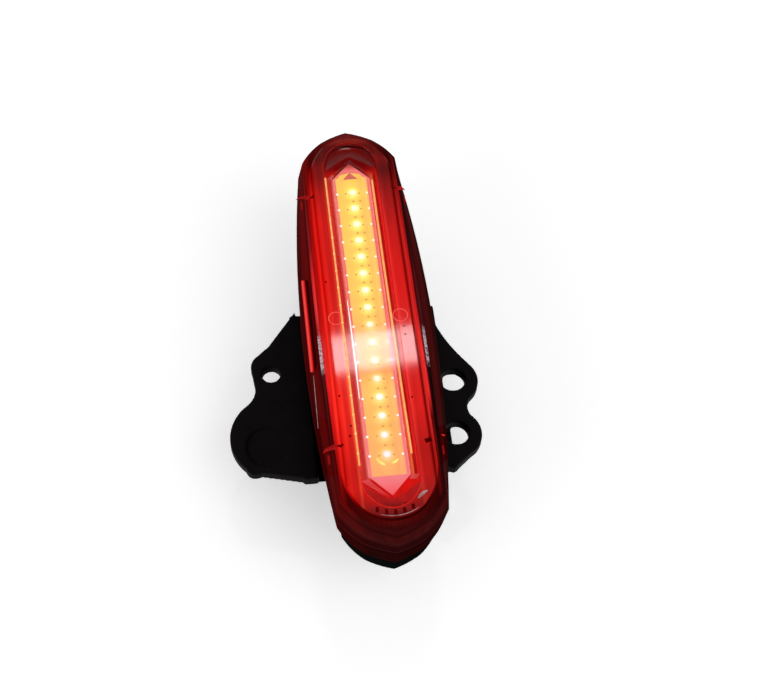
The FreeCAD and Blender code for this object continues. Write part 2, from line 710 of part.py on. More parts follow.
def make_lens_cover():
    """Translucent shell: sloping sides, flat rim, raised round-ended panel."""
    body = make_body("lens_cover")
    foot = make_sketch(body, "lens_foot", offset=PART_LINE)
    draw_outline(foot, body_outline(as_size(0), as_size(0), as_size(0)))
    edge = s("rim_break")
    rim = make_sketch(body, "lens_rim", offset=LEDGE_TOP - edge)
    draw_outline(rim, body_outline(s("rim_in_side"), s("rim_in_corner"), s("rim_in_end")))
    loft(body, [foot, rim], "lens_wall_loft")
    low_rim = make_sketch(body, "lens_rim_edge", offset=LEDGE_TOP - edge)
    draw_outline(low_rim, body_outline(s("rim_in_side"), s("rim_in_corner"), s("rim_in_end")))
    top_rim = make_sketch(body, "lens_rim_top", offset=LEDGE_TOP)
    draw_outline(
        top_rim,
        body_outline(s("rim_in_side") + edge, s("rim_in_corner") + edge, s("rim_in_end") + edge),
    )
    loft(body, [low_rim, top_rim], "lens_rim_loft")
    panel = make_sketch(body, "lens_panel", offset=LEDGE_TOP - s("root"))
    draw_outline(panel, panel_outline(as_size(0)))
    panel_edge = make_sketch(body, "lens_panel_edge", offset=PANEL_TOP - edge)
    draw_outline(panel_edge, panel_outline(s("panel_lean")))
    loft(body, [panel, panel_edge], "lens_panel_side")
    panel_low = make_sketch(body, "lens_panel_low", offset=PANEL_TOP - edge)
    draw_outline(panel_low, panel_outline(s("panel_lean")))
    panel_high = make_sketch(body, "lens_panel_high", offset=PANEL_TOP)
    draw_outline(panel_high, panel_outline(s("panel_lean") * 3))
    loft(body, [panel_low, panel_high], "lens_panel_break")

    hollow_top = LEDGE_TOP - LEDGE_SKIN
    wall = s("lens_wall")
    climb = LEDGE_SKIN / LENS_TALL
    inner_foot = make_sketch(body, "lens_inner_foot", offset=PART_LINE)
    draw_outline(inner_foot, body_outline(wall, wall, wall))
    inner_rim = make_sketch(body, "lens_inner_rim", offset=hollow_top)
    draw_outline(
        inner_rim,
        body_outline(
            wall + s("rim_in_side") * (1 - climb),
            wall + s("rim_in_corner") * (1 - climb),
            wall + s("rim_in_end") * (1 - climb),
        ),
    )
    loft(body, [inner_foot, inner_rim], "lens_hollow", cut=True)
    under = make_sketch(body, "lens_under_panel", offset=hollow_top)
    draw_outline(under, panel_outline(s("panel_side_skin")))
    pocket(body, under, PANEL_TALL, "lens_under_panel_cut", down=False)
    hole = make_sketch(body, "lens_window_hole", offset=PANEL_TOP)
    draw_outline(hole, round_ended(s("window_half"), WINDOW_CORNER_Y, WINDOW_NOSE))
    pocket(body, hole, PANEL_TALL + s("past"), "lens_window_cut")

    for across in (-1, 1):
        for along in (-1, 1):
            spot = corner_name(across, along)
            disc(
                body,
                "pillar_" + spot,
                SCREW_X * across,
                SCREW_Y * along,
                s("pillar_size"),
                PART_LINE,
                hollow_top - PART_LINE + s("root"),
            )
            cut_disc(
                body,
                "pillar_bore_" + spot,
                SCREW_X * across,
                SCREW_Y * along,
                s("screw_size") + s("fit_gap"),
                PART_LINE,
                SCREW_TIP + s("screw_tip_room") - PART_LINE,
            )
            cut_snap_slot(body, across, along, spot)
    cut_button_slot(body)
    return body


def corner_name(across, along):
    """far_right, far_left, near_right or near_left."""
    end = "far" if along > 0 else "near"
    side = "right" if across > 0 else "left"
    return end + "_" + side


def cut_snap_slot(body, across, along, spot):
    """Slot in the lens wall through which a snap lug of the tray shows."""
    gap = s("snap_gap")
    half = s("snap_wide") / 2 + gap
    inner = TRAY_HALF - s("snap_slot_in")
    outer = s("body_half") + s("past")
    left = inner if across > 0 else -outer
    right = outer if across > 0 else -inner
    middle = SNAP_Y * along
    cut_block(
        body,
        "snap_slot_" + spot,
        left,
        right,
        middle - half,
        middle + half,
        TRAY_LOW - gap,
        s("tray_skin") + gap * 2,
    )


def cut_button_slot(body):
    """Long slot in the left wall for the side button."""
    gap = s("button_gap")
    outer = s("body_half") + s("past")
    sketch = make_sketch(body, "button_slot_face", role="YZ_Plane", offset=-outer)
    draw_bar(sketch, s("button_long") + gap * 2, s("button_tall") + gap * 2)
    pocket(body, sketch, outer - TRAY_HALF + s("button_room"), "button_slot", down=False)


def draw_bar(sketch, length, tall):
    """Round-ended bar about the button's middle, in a plane across X."""
    middle = s("button_mid_y")
    height = BUTTON_MID_Z
    straight = length / 2 - tall / 2
    draw_outline(
        sketch,
        [
            (middle - straight, height - tall / 2),
            (middle + straight, height - tall / 2, tall / 2 * HALF_ROUND),
            (middle + straight, height + tall / 2),
            (middle - straight, height + tall / 2, tall / 2 * HALF_ROUND),
        ],
    )


def make_light_window():
    """Clear round-ended window with a hidden lip under the panel."""
    body = make_body("light_window")
    gap = s("fit_gap")
    lip = s("window_lip")
    seat = PANEL_TOP - s("panel_skin")
    base = make_sketch(body, "window_lip_plan", offset=seat - s("window_lip_deep"))
    draw_outline(base, round_ended(s("window_half") + lip, WINDOW_CORNER_Y, WINDOW_NOSE + lip))
    pad(body, base, s("window_lip_deep"), "window_lip_pad")
    top = make_sketch(body, "window_plan", offset=seat)
    draw_outline(top, round_ended(s("window_half") - gap, WINDOW_CORNER_Y, WINDOW_NOSE - gap))
    pad(body, top, s("panel_skin") + s("window_proud"), "window_pad")
    return body


def make_reflector_tray():
    """Red bezel round the lamps: plate, raised middle, cross ribs, lugs, legs."""
    body = make_body("reflector_tray")
    rim = TRAY_HALF
    plate = make_sketch(body, "tray_plate_plan", offset=TRAY_LOW)
    corner = rim - s("tray_swell")
    draw_outline(
        plate,
        [
            (0, -TRAY_NOSE),
            (corner, -TRAY_CORNER_Y, s("tray_swell")),
            (corner, TRAY_CORNER_Y),
            (0, TRAY_NOSE),
            (-corner, TRAY_CORNER_Y, s("tray_swell")),
            (-corner, -TRAY_CORNER_Y),
        ],
    )
    pad(body, plate, s("tray_skin"), "tray_plate")
    middle = make_sketch(body, "tray_middle_plan", offset=TRAY_LOW)
    draw_outline(middle, six_sided(TRAY_STEP_HALF, TRAY_CORNER_Y, TRAY_NOSE - s("tray_step_back")))
    seat = PANEL_TOP - s("panel_skin") - s("window_lip_deep")
    pad(body, middle, seat - TRAY_LOW, "tray_middle")
    board = make_sketch(body, "tray_board_recess", offset=TRAY_LOW)
    grow = s("board_room")
    draw_outline(
        board,
        six_sided(s("led_board_half") + grow, LED_BOARD_CORNER_Y + grow, LED_BOARD_NOSE + grow * 2),
    )
    pocket(body, board, s("tray_drop"), "tray_board_cut", down=False)
    well = make_sketch(body, "tray_well", offset=TRAY_LOW)
    draw_outline(well, six_sided(s("tray_well_half"), TRAY_WELL_CORNER_Y, TRAY_WELL_NOSE))
    pocket(body, well, PANEL_TOP - TRAY_LOW, "tray_well_cut", down=False)
    add_tray_ribs(body)
    for across in (-1, 1):
        disc(
            body,
            "tray_boss_" + ("right" if across > 0 else "left"),
            (TRAY_STEP_HALF + s("window_half") + s("window_lip")) / 2 * across,
            s("led_mid_y") - LED_PITCH / 2,
            s("boss_size"),
            seat - s("boss_root"),
            s("boss_root") + s("boss_tall"),
        )
        for along in (-1, 1):
            add_tray_corner(body, across, along)
    cut_for_button(body)
    return body


def add_tray_ribs(body):
    """Cross ribs on the plate, on both sides, away from the button."""
    tall = LEDGE_TOP - LEDGE_SKIN - TRAY_LOW - s("rib_air")
    inner = TRAY_STEP_HALF - s("rib_root")
    outer = TRAY_HALF - s("rib_short")
    count = int(round(s("rib_count").value))
    for across in (-1, 1):
        for along in (-1, 1):
            name = "tray_rib_" + corner_name(across, along)
            start = (s("button_long") / 2 + s("button_lip") + s("rib_from_button")) * along
            left = inner if across > 0 else -outer
            right = outer if across > 0 else -inner
            sketch = make_sketch(body, name + "_plan", offset=TRAY_LOW)
            for number in range(count // 2):
                near = start + s("rib_pitch") * number * along
                draw_box(sketch, left, right, near - s("rib_wide") / 2, near + s("rib_wide") / 2)
            pad(body, sketch, tall, name)


def add_tray_corner(body, across, along):
    """A snap lug that shows in the lens wall, and a leg that stands on the board."""
    spot = corner_name(across, along)
    half = s("snap_wide") / 2
    reach = half_at(TRAY_LOW + s("tray_skin")) - s("snap_sunk")
    root = TRAY_HALF - s("snap_root")
    left = root if across > 0 else -reach
    right = reach if across > 0 else -root
    middle = SNAP_Y * along
    block(body, "tray_lug_" + spot, left, right, middle - half, middle + half, TRAY_LOW, s("tray_skin"))
    side = s("leg_side") / 2
    x = LEG_X * across
    y = LEG_Y * along
    block(
        body,
        "tray_leg_" + spot,
        x - side,
        x + side,
        y - side,
        y + side,
        BOARD_TOP,
        TRAY_LOW + s("tray_skin") / 2 - BOARD_TOP,
    )


def cut_for_button(body):
    """Room at the left edge for the button's flange and its travel."""
    half = s("button_long") / 2 + s("button_lip") + s("button_room")
    inner = BUTTON_BACK - s("button_flange") - s("button_room") * 2
    cut_block(
        body,
        "tray_button_room",
        -TRAY_HALF - s("past"),
        -inner,
        s("button_mid_y") - half,
        s("button_mid_y") + half,
        TRAY_LOW - s("past"),
        s("tray_skin") + s("past") * 2,
    )


def make_led_board():
    """White lamp board under the tray's channel."""
    body = make_body("led_board")
    sketch = make_sketch(body, "led_board_plan", offset=LED_FLOOR - s("led_board_deep"))
    draw_outline(sketch, six_sided(s("led_board_half"), LED_BOARD_CORNER_Y, LED_BOARD_NOSE))
    pad(body, sketch, s("led_board_deep"), "led_board_pad")
    return body


def led_y(number):
    """Place of a lamp along the row, from the far end."""
    return s("led_mid_y") + (s("led_count") / 2 - 0.5 - number) * LED_PITCH


def make_led_gel():
    """Glowing coat with a square window at each lamp."""
    body = make_body("led_gel")
    sketch = make_sketch(body, "gel_plan", offset=LED_FLOOR)
    half = GEL_LONG / 2
    middle = s("led_mid_y")
    draw_box(sketch, -s("gel_half"), s("gel_half"), middle - half, middle + half)
    pad(body, sketch, s("gel_deep"), "gel_pad")
    side = s("led_wide") / 2 + s("fit_gap")
    holes = make_sketch(body, "gel_first_hole", offset=LED_FLOOR)
    first = led_y(0)
    draw_box(holes, -side, side, first - side, first + side)
    cut = pocket(body, holes, s("gel_deep") + s("past"), "gel_first_cut", down=False)
    row = body.newObject("PartDesign::LinearPattern", "gel_holes")
    row.Originals = [cut]
    row.Direction = (holes, ["V_Axis"])
    row.Reversed = True
    count = int(round(s("led_count").value))
    row.Length = ROW_HALF.value * 2
    bind(row, "Length", ROW_HALF * 2)
    row.Occurrences = count
    row.setExpression("Occurrences", "Sizes.led_count")
    body.Tip = row
    doc.recompute()
    return body


def make_leds():
    """One square lamp per place in the row."""
    lamps = []
    for number in range(int(round(s("led_count").value))):
        name = "led_" + str(number + 1).zfill(2)
        lamps.append(
            make_box(
                name,
                -s("led_wide") / 2,
                led_y(number) - s("led_wide") / 2,
                LED_FLOOR,
                s("led_wide"),
                s("led_wide"),
                s("led_tall"),
            )
        )
    return lamps


def make_box(name, x, y, z, wide, long, tall):
    """A plain block as one piece, already moved to the part's origin."""
    piece = doc.addObject("Part::Box", name + "_box")
    piece.Label = name
    bind(piece, "Length", wide)
    bind(piece, "Width", long)
    bind(piece, "Height", tall)
    bind(piece, "Placement.Base.x", as_size(x) + SHIFT_X)
    bind(piece, "Placement.Base.y", as_size(y) + SHIFT_Y)
    bind(piece, "Placement.Base.z", z)
    return piece


def make_rod(name, x, y, z, radius, tall):
    """An upright round piece, already moved to the part's origin."""
    piece = doc.addObject("Part::Cylinder", name + "_rod")
    piece.Label = name
    bind(piece, "Radius", radius)
    bind(piece, "Height", tall)
    bind(piece, "Placement.Base.x", as_size(x) + SHIFT_X)
    bind(piece, "Placement.Base.y", as_size(y) + SHIFT_Y)
    bind(piece, "Placement.Base.z", z)
    return piece


def tier_outline():
    """Outline at the bottom of the housing's upper tier."""
    inset = s("tier_in_side")
    return body_outline(inset, inset * s("tier_corner"), inset * s("tier_end"))


def make_rear_housing():
    """Black tub in two tiers, with posts, port recess and the quick-release rail."""
    body = make_body("rear_housing")
    top = make_sketch(body, "hull_joint", offset=PART_LINE)
    draw_outline(top, body_outline(as_size(0), as_size(0), as_size(0)))
    step = make_sketch(body, "hull_step_outline", offset=HULL_STEP)
    draw_outline(step, tier_outline())
    loft(body, [top, step], "hull_upper")
    inset = s("tier_in_side") + s("tier_step")
    lower = make_sketch(body, "hull_lower_outline", offset=HULL_STEP)
    draw_outline(lower, body_outline(inset, inset * s("tier_corner"), inset * s("low_tier_end")))
    floor = make_sketch(body, "hull_floor_outline", offset=HULL_FLOOR)
    inset = s("hull_in_side")
    draw_outline(floor, body_outline(inset, inset * s("hull_corner"), s("hull_in_end")))
    loft(body, [lower, floor], "hull_lower")

    inside_low = HULL_FLOOR + s("hull_skin")
    under_hull = HULL_FLOOR - s("past")
    tub = make_sketch(body, "hull_tub", offset=inside_low)
    draw_outline(
        tub,
        [
            (0, -TUB_NOSE),
            (TUB_CORNER, -TUB_CORNER_Y, TUB_HALF - TUB_CORNER),
            (TUB_CORNER, TUB_CORNER_Y),
            (-TUB_CORNER, TUB_CORNER_Y, TUB_HALF - TUB_CORNER),
            (-TUB_CORNER, -TUB_CORNER_Y),
        ],
    )
    pocket(body, tub, PART_LINE - inside_low + s("past"), "hull_tub_cut", down=False)
    add_seal_groove(body)
    for across in (-1, 1):
        for along in (-1, 1):
            spot = corner_name(across, along)
            x = SCREW_X * across
            y = SCREW_Y * along
            if along < 0:
                foot = HULL_FLOOR + s("pillar_foot")
                disc(body, "hull_pillar_" + spot, x, y, s("pillar_size"), foot, s("pillar_tall"))
            bore = s("screw_size") + s("fit_gap")
            cut_disc(body, "hull_bore_" + spot, x, y, bore, under_hull, s("screw_way"))
            cut_disc(
                body,
                "hull_sink_" + spot,
                x,
                y,
                s("screw_head") + s("screw_room"),
                under_hull,
                s("screw_head_deep") + s("past"),
            )
            disc(
                body,
                "hull_post_" + spot,
                POST_X * across,
                POST_Y * along,
                s("post_size"),
                inside_low - s("root"),
                BOARD_TOP - s("board_deep") - inside_low + s("root"),
            )
    cut_port(body)
    add_rail(body)
    return body


def add_seal_groove(body):
    """Groove round the joint for the seal ring."""
    sketch = make_sketch(body, "seal_groove_plan", offset=PART_LINE)
    outer = s("seal_in")
    inner = s("seal_in") + s("seal_wide")
    draw_outline(sketch, body_outline(outer, outer, outer))
    draw_outline(sketch, body_outline(inner, inner, inner))
    pocket(body, sketch, s("seal_deep"), "seal_groove")


def cut_port(body):
    """Recess in the far nose and the opening through which the socket shows."""
    tall = RECESS_HIGH - RECESS_LOW
    cut_block(
        body,
        "port_recess",
        -RECESS_HALF,
        RECESS_HALF,
        RECESS_FLOOR,
        s("body_nose") + s("past"),
        RECESS_LOW,
        tall,
    )
    gap = s("fit_gap")
    top = BOARD_TOP - s("board_deep")
    cut_block(
        body,
        "port_opening",
        -s("port_half") - gap,
        s("port_half") + gap,
        TUB_CORNER_Y - s("past") / 2,
        RECESS_FLOOR + s("past") / 2,
        top - s("port_tall") - gap,
        s("port_tall") + gap,
    )


def add_rail(body):
    """T-shaped rail under the housing, with a groove for the latch's tooth."""
    near = s("rail_near")
    far = s("rail_far")
    low = HULL_FLOOR - s("rail_tall")
    neck = s("rail_neck")
    foot = s("rail_half")
    block(body, "rail_neck_pad", -neck, neck, near, far, low, s("rail_tall") + s("root"))
    block(body, "rail_foot_pad", -foot, foot, near, far, low, s("rail_foot"))
    cut_block(
        body,
        "rail_groove",
        -s("groove_half"),
        s("groove_half"),
        near - s("past"),
        far + s("past"),
        low - s("past"),
        s("groove_deep") + s("past"),
    )


def make_seal_ring():
    """Soft ring in the groove, flush with the joint."""
    body = make_body("seal_ring")
    sketch = make_sketch(body, "seal_plan", offset=PART_LINE)
    outer = s("seal_in") + s("fit_gap")
    inner = s("seal_in") + s("seal_wide") - s("fit_gap")
    draw_outline(sketch, body_outline(outer, outer, outer))
    draw_outline(sketch, body_outline(inner, inner, inner))
    pad(body, sketch, s("seal_deep"), "seal_pad", down=True)
    return body


def make_screw(name, x, y, under_head, shank, head, head_deep, length):
    """Screw that points up: a head below, a shank, a cross in the head."""
    body = make_body(name)
    disc(body, name + "_head", x, y, head, under_head - head_deep, head_deep)
    disc(body, name + "_shank", x, y, shank, under_head, length)
    cross = make_sketch(body, name + "_cross_plan", offset=under_head - head_deep)
    slot = head * s("cross_slot")
    reach = head * s("cross_reach")
    draw_outline(cross, cross_outline(as_size(x), as_size(y), slot, reach))
    pocket(body, cross, head_deep / 2, name + "_cross", down=False)
    return body


def cross_outline(x, y, slot, reach):
    """Twelve corners of a plus sign."""
    return [
        (x - slot, y - reach),
        (x + slot, y - reach),
        (x + slot, y - slot),
        (x + reach, y - slot),
        (x + reach, y + slot),
        (x + slot, y + slot),
        (x + slot, y + reach),
        (x - slot, y + reach),
        (x - slot, y + slot),
        (x - reach, y + slot),
        (x - reach, y - slot),
        (x - slot, y - slot),
    ]


def make_housing_screws():
    """Four screws from the back of the housing into the lens pillars."""
    screws = []
    for across in (-1, 1):
        for along in (-1, 1):
            screws.append(
                make_screw(
                    "housing_screw_" + corner_name(across, along),
                    SCREW_X * across,
                    SCREW_Y * along,
                    HULL_FLOOR + s("screw_head_deep"),
                    s("screw_size"),
                    s("screw_head"),
                    s("screw_head_deep"),
                    SCREW_LONG,
                )
            )
    return screws


def make_main_board():
    """Control board on the housing's posts."""
    body = make_body("main_board")
    sketch = make_sketch(body, "board_plan", offset=BOARD_TOP - s("board_deep"))
    draw_outline(sketch, six_sided(BOARD_HALF, BOARD_CORNER_Y, BOARD_NOSE))
    pad(body, sketch, s("board_deep"), "board_pad")
    return body


# Blocks on the control board: left edge, near edge, width, length, height.
BOARD_BLOCKS = [
    ("charge_chip", 0.4, 10.0, 3.9, 4.9, 1.4),
    ("driver_chip", -2.5, -13.0, 3.0, 3.0, 0.9),
    ("charge_lamp", -0.8, 25.0, 1.6, 0.8, 0.6),
    ("charge_capacitor", -4.2, 12.0, 1.6, 3.2, 1.2),
]


def make_board_pieces():
    """What is soldered to the control board, and the wires that leave it."""
    top = BOARD_TOP
    low = top - s("board_deep")
    pieces = [make_box(name, x, y, top, wide, long, tall) for name, x, y, wide, long, tall in BOARD_BLOCKS]
    pieces.append(make_rod("power_coil", s("coil_x"), s("coil_y"), top, s("coil_size"), s("coil_tall")))
    wire = s("wire_size")
    led_low = LED_FLOOR - s("led_board_deep")
    for name, side in (("led_lead_live", 1), ("led_lead_return", -1)):
        pieces.append(make_rod(name, s("led_lead_x") * side, s("led_lead_y"), top, wire, led_low - top))
    battery_end = s("cell_mid_y") - s("cell_long") / 2
    guard_low = CELL_LOW + s("cell_deep") / 2 - s("guard_drop")
    guard_half = CELL_HALF - s("guard_in")
    pieces.append(
        make_box(
            "battery_guard",
            -guard_half,
            battery_end - s("guard_long"),
            guard_low,
            guard_half * 2,
            s("guard_long"),
            s("guard_tall"),
        )
    )
    lead_y = battery_end - s("guard_long") / 2
    lead_low = guard_low + s("guard_tall")
    for name, side in (("battery_lead_live", 1), ("battery_lead_return", -1)):
        x = s("battery_lead_x") * side
        pieces.append(make_rod(name, x, lead_y, lead_low, wire, low - lead_low))
    return pieces


def make_battery():
    """Flat cell with softened long edges, on a foam pad."""
    body = make_body("battery_cell")
    low = CELL_LOW
    sketch = make_sketch(
        body, "cell_face", role="XZ_Plane", offset=-(s("cell_mid_y") + s("cell_long") / 2)
    )
    half = CELL_HALF
    bevel = s("cell_edge")
    high = low + s("cell_deep")
    draw_outline(
        sketch,
        [
            (-half + bevel, low),
            (half - bevel, low),
            (half, low + bevel),
            (half, high - bevel),
            (half - bevel, high),
            (-half + bevel, high),
            (-half, high - bevel),
            (-half, low + bevel),
        ],
    )
    pad(body, sketch, s("cell_long"), "cell_pad")
    foam = make_box(
        "battery_foam",
        s("foam_in") - CELL_HALF,
        s("cell_mid_y") - s("cell_long") / 2 + s("foam_back"),
        HULL_FLOOR + s("hull_skin"),
        (CELL_HALF - s("foam_in")) * 2,
        s("cell_long") - s("foam_back") * 2,
        s("foam_deep"),
    )
    return [body, foam]


def make_button():
    """Long translucent side button with its hidden flange."""
    body = make_body("power_button")
    out = half_at(BUTTON_MID_Z) + s("button_proud")
    back = BUTTON_BACK - s("button_flange")
    bar = make_sketch(body, "button_bar", role="YZ_Plane", offset=-out)
    draw_bar(bar, s("button_long"), s("button_tall"))
    pad(body, bar, out - back, "button_pad")
    lip = s("button_lip")
    flange = make_sketch(body, "button_flange_face", role="YZ_Plane", offset=-BUTTON_BACK)
    draw_bar(flange, s("button_long") + lip * 2, s("button_tall") + lip * 2)
    pad(body, flange, s("button_flange"), "button_flange_pad")
    return body


def make_switch():
    """Side-pressed switch on the board, and the plunger that slides in it."""
    tip = BUTTON_BACK - s("button_flange") - s("plunger_gap")
    face = tip - s("plunger_out")
    body = make_body("tact_switch")
    middle = s("button_mid_y")
    half = s("switch_wide") / 2
    block(
        body,
        "switch_body",
        -face,
        s("switch_deep") - face,
        middle - half,
        middle + half,
        BOARD_TOP,
        s("switch_tall"),
    )
    room = s("fit_gap")
    wide = s("plunger_wide") / 2 + room
    tall = s("plunger_tall") / 2 + room
    cut_block(
        body,
        "switch_bore",
        -face - s("past"),
        s("plunger_long") + s("plunger_travel") + s("fit_gap") - tip,
        middle - wide,
        middle + wide,
        PLUNGER_Z - tall,
        tall * 2,
    )
    plunger = make_box(
        "switch_plunger",
        -tip,
        middle - s("plunger_wide") / 2,
        PLUNGER_Z - s("plunger_tall") / 2,
        s("plunger_long"),
        s("plunger_wide"),
        s("plunger_tall"),
    )
    return [body, plunger]


def make_port():
    """Charging socket: a metal shell with a tongue inside."""
    body = make_body("usb_socket")
    top = BOARD_TOP - s("board_deep")
    low = top - s("port_tall")
    near = PORT_FACE - s("port_long")
    block(body, "port_shell", -s("port_half"), s("port_half"), near, PORT_FACE, low, s("port_tall"))
    wall = s("port_wall")
    floor = near + s("port_back")
    cut_block(
        body,
        "port_mouth",
        wall - s("port_half"),
        s("port_half") - wall,
        floor,
        PORT_FACE + s("past"),
        low + wall,
        s("port_tall") - wall * 2,
    )
    tongue_half = s("port_half") - s("tongue_in")
    tongue = make_box(
        "usb_tongue",
        -tongue_half,
        floor,
        top - wall - s("tongue_drop"),
        tongue_half * 2,
        s("port_long") - s("port_back") * 2,
        s("tongue_deep"),
    )
    return [body, tongue]


def make_port_cover():
    """Rubber flap that closes the recess, with a nail ridge along its top."""
    body = make_body("usb_cover")
    near = RECESS_FLOOR + s("cover_gap")
    sketch = make_sketch(body, "cover_side", role="YZ_Plane", offset=-COVER_HALF)
    far = near + s("cover_deep")
    round_foot = s("cover_deep") / 2
    low = COVER_LOW + round_foot
    high = COVER_LOW + COVER_TALL
    lip = s("cover_lip")
    draw_outline(
        sketch,
        [
            (near, low, round_foot * HALF_ROUND),
            (far, low),
            (far, high - lip - s("cover_slope")),
            (far + lip, high - lip),
            (far + lip, high),
            (near, high),
        ],
    )
    pad(body, sketch, COVER_HALF * 2, "cover_pad")
    return body


def make_clip_plate():
    """Quick-release plate: side cheeks with lips over the rail, a stop, a slot."""
    body = make_body("clip_plate")
    near = s("clip_near")
    far = s("clip_far")
    low = s("saddle_top")
    rooted = low + s("clip_base") - s("root") / 2
    block(body, "clip_floor", -s("clip_half"), s("clip_half"), near, far, low, s("clip_base"))
    inner = s("rail_half") + s("slide_side")
    lip_in = s("rail_neck") + s("slide_side")
    lip_low = HULL_FLOOR - s("rail_tall") + s("rail_foot") + s("slide_gap")
    lip_top = HULL_FLOOR - s("slide_gap")
    for across in (-1, 1):
        side = "right" if across > 0 else "left"
        left = inner if across > 0 else -s("clip_half")
        right = s("clip_half") if across > 0 else -inner
        block(body, "clip_cheek_" + side, left, right, near, far, rooted, lip_top - rooted)
        left = lip_in if across > 0 else -inner - s("root")
        right = inner + s("root") if across > 0 else -lip_in
        block(body, "clip_lip_" + side, left, right, near, far, lip_low, lip_top - lip_low)
    block(
        body,
        "clip_stop_pad",
        -inner - s("root"),
        inner + s("root"),
        near,
        near + s("clip_stop"),
        rooted,
        lip_top - rooted,
    )
    slot = s("latch_half") + s("latch_gap")
    past = s("past")
    slot_low = low - past
    slot_tall = s("clip_base") + s("latch_slot_over") + past
    cut_block(body, "latch_slot", -slot, slot, near - past, LATCH_ROOM_END, slot_low, slot_tall)
    pin = make_sketch(body, "latch_pin_hole", role="YZ_Plane", offset=-LATCH_PIN_HALF)
    draw_circle(pin, s("latch_root"), LATCH_PIN_Z, s("latch_pin_size"))
    pocket(body, pin, LATCH_PIN_HALF * 2, "latch_pin_bore", down=False)
    bore = s("clip_shank") + s("fit_gap")
    sink = s("clip_head") + s("screw_room")
    sink_low = low + s("clip_base") - s("clip_sink")
    for name in ("clip_screw_a", "clip_screw_b"):
        cut_disc(body, name + "_bore", 0, s(name), bore, low - past, s("clip_base") + past * 2)
        cut_disc(body, name + "_sink", 0, s(name), sink, sink_low, s("clip_sink") + past)
    return body


def make_latch_pin():
    """Steel pin through the finger's knuckle, held in the clip plate."""
    body = make_body("latch_pin")
    sketch = make_sketch(body, "latch_pin_end", role="YZ_Plane", offset=-LATCH_PIN_HALF)
    draw_circle(sketch, s("latch_root"), LATCH_PIN_Z, s("latch_pin_size"))
    pad(body, sketch, LATCH_PIN_HALF * 2, "latch_pin_pad")
    return body


def make_latch():
    """Finger in the clip plate's slot: thumb end, tooth, root."""
    body = make_body("release_latch")
    low = LATCH_LOW
    half = s("latch_half")
    block(body, "latch_finger", -half, half, s("latch_tip"), s("latch_root"), low, s("latch_deep"))
    knuckle = make_sketch(body, "knuckle_end", role="YZ_Plane", offset=-half)
    draw_circle(knuckle, s("latch_root"), LATCH_PIN_Z, s("latch_knuckle"))
    pad(body, knuckle, half * 2, "knuckle_pad")
    bore = make_sketch(body, "knuckle_bore_end", role="YZ_Plane", offset=-half)
    draw_circle(bore, s("latch_root"), LATCH_PIN_Z, s("latch_pin_size") + s("pin_gap"))
    pocket(body, bore, half * 2, "knuckle_bore", down=False)
    tooth = make_sketch(body, "tooth_side", role="YZ_Plane", offset=-s("tooth_half"))
    top = low + s("latch_deep")
    rooted = top - s("root") / 2
    near = s("clip_near") + s("clip_stop") + s("tooth_back")
    draw_outline(
        tooth,
        [
            (near, rooted),
            (near + s("tooth_long"), rooted),
            (near + s("tooth_crest"), top + s("latch_tooth")),
            (near, top + s("latch_tooth")),
        ],
    )
    pad(body, tooth, s("tooth_half") * 2, "latch_tooth_pad")
    ridges = make_sketch(body, "thumb_ridges", offset=rooted)
    side = half - s("ridge_in")
    for number in range(3):
        start = s("latch_tip") + s("ridge_in") + s("ridge_pitch") * number
        draw_box(ridges, -side, side, start, start + s("ridge_wide"))
    pad(body, ridges, top + s("ridge_tall") - rooted, "thumb_ridge_pad")
    return body


def make_core_plate():
    """Stiff plate let into the saddle's top; the clip plate is screwed to it."""
    body = make_body("core_plate")
    low = s("saddle_top") - s("core_deep")
    half = s("core_half")
    block(body, "core_pad", -half, half, s("core_near"), s("core_far"), low, s("core_deep"))
    bore = s("clip_shank") + s("fit_gap")
    past = s("past")
    for name in ("clip_screw_a", "clip_screw_b"):
        cut_disc(body, name + "_thread", 0, s(name), bore, low - past, s("core_deep") + past * 2)
    return body


def make_clip_screws():
    """Two countersunk screws through the clip plate into the core plate."""
    screws = []
    for name in ("clip_screw_a", "clip_screw_b"):
        body = make_body(name)
        top = s("saddle_top") + s("clip_base")
        sink = top - s("clip_sink")
        low = s("saddle_top") - s("core_deep")
        disc(body, name + "_head", 0, s(name), s("clip_head"), sink, s("clip_head_deep"))
        disc(body, name + "_shank", 0, s(name), s("clip_shank"), low, sink - low)
        cross = make_sketch(body, name + "_cross_plan", offset=sink + s("clip_head_deep"))
        arm = s("clip_cross_reach")
        draw_outline(cross, cross_outline(as_size(0), s(name), s("clip_cross_slot"), arm))
        pocket(body, cross, s("clip_cross_deep"), name + "_cross")
        screws.append(body)
    return screws


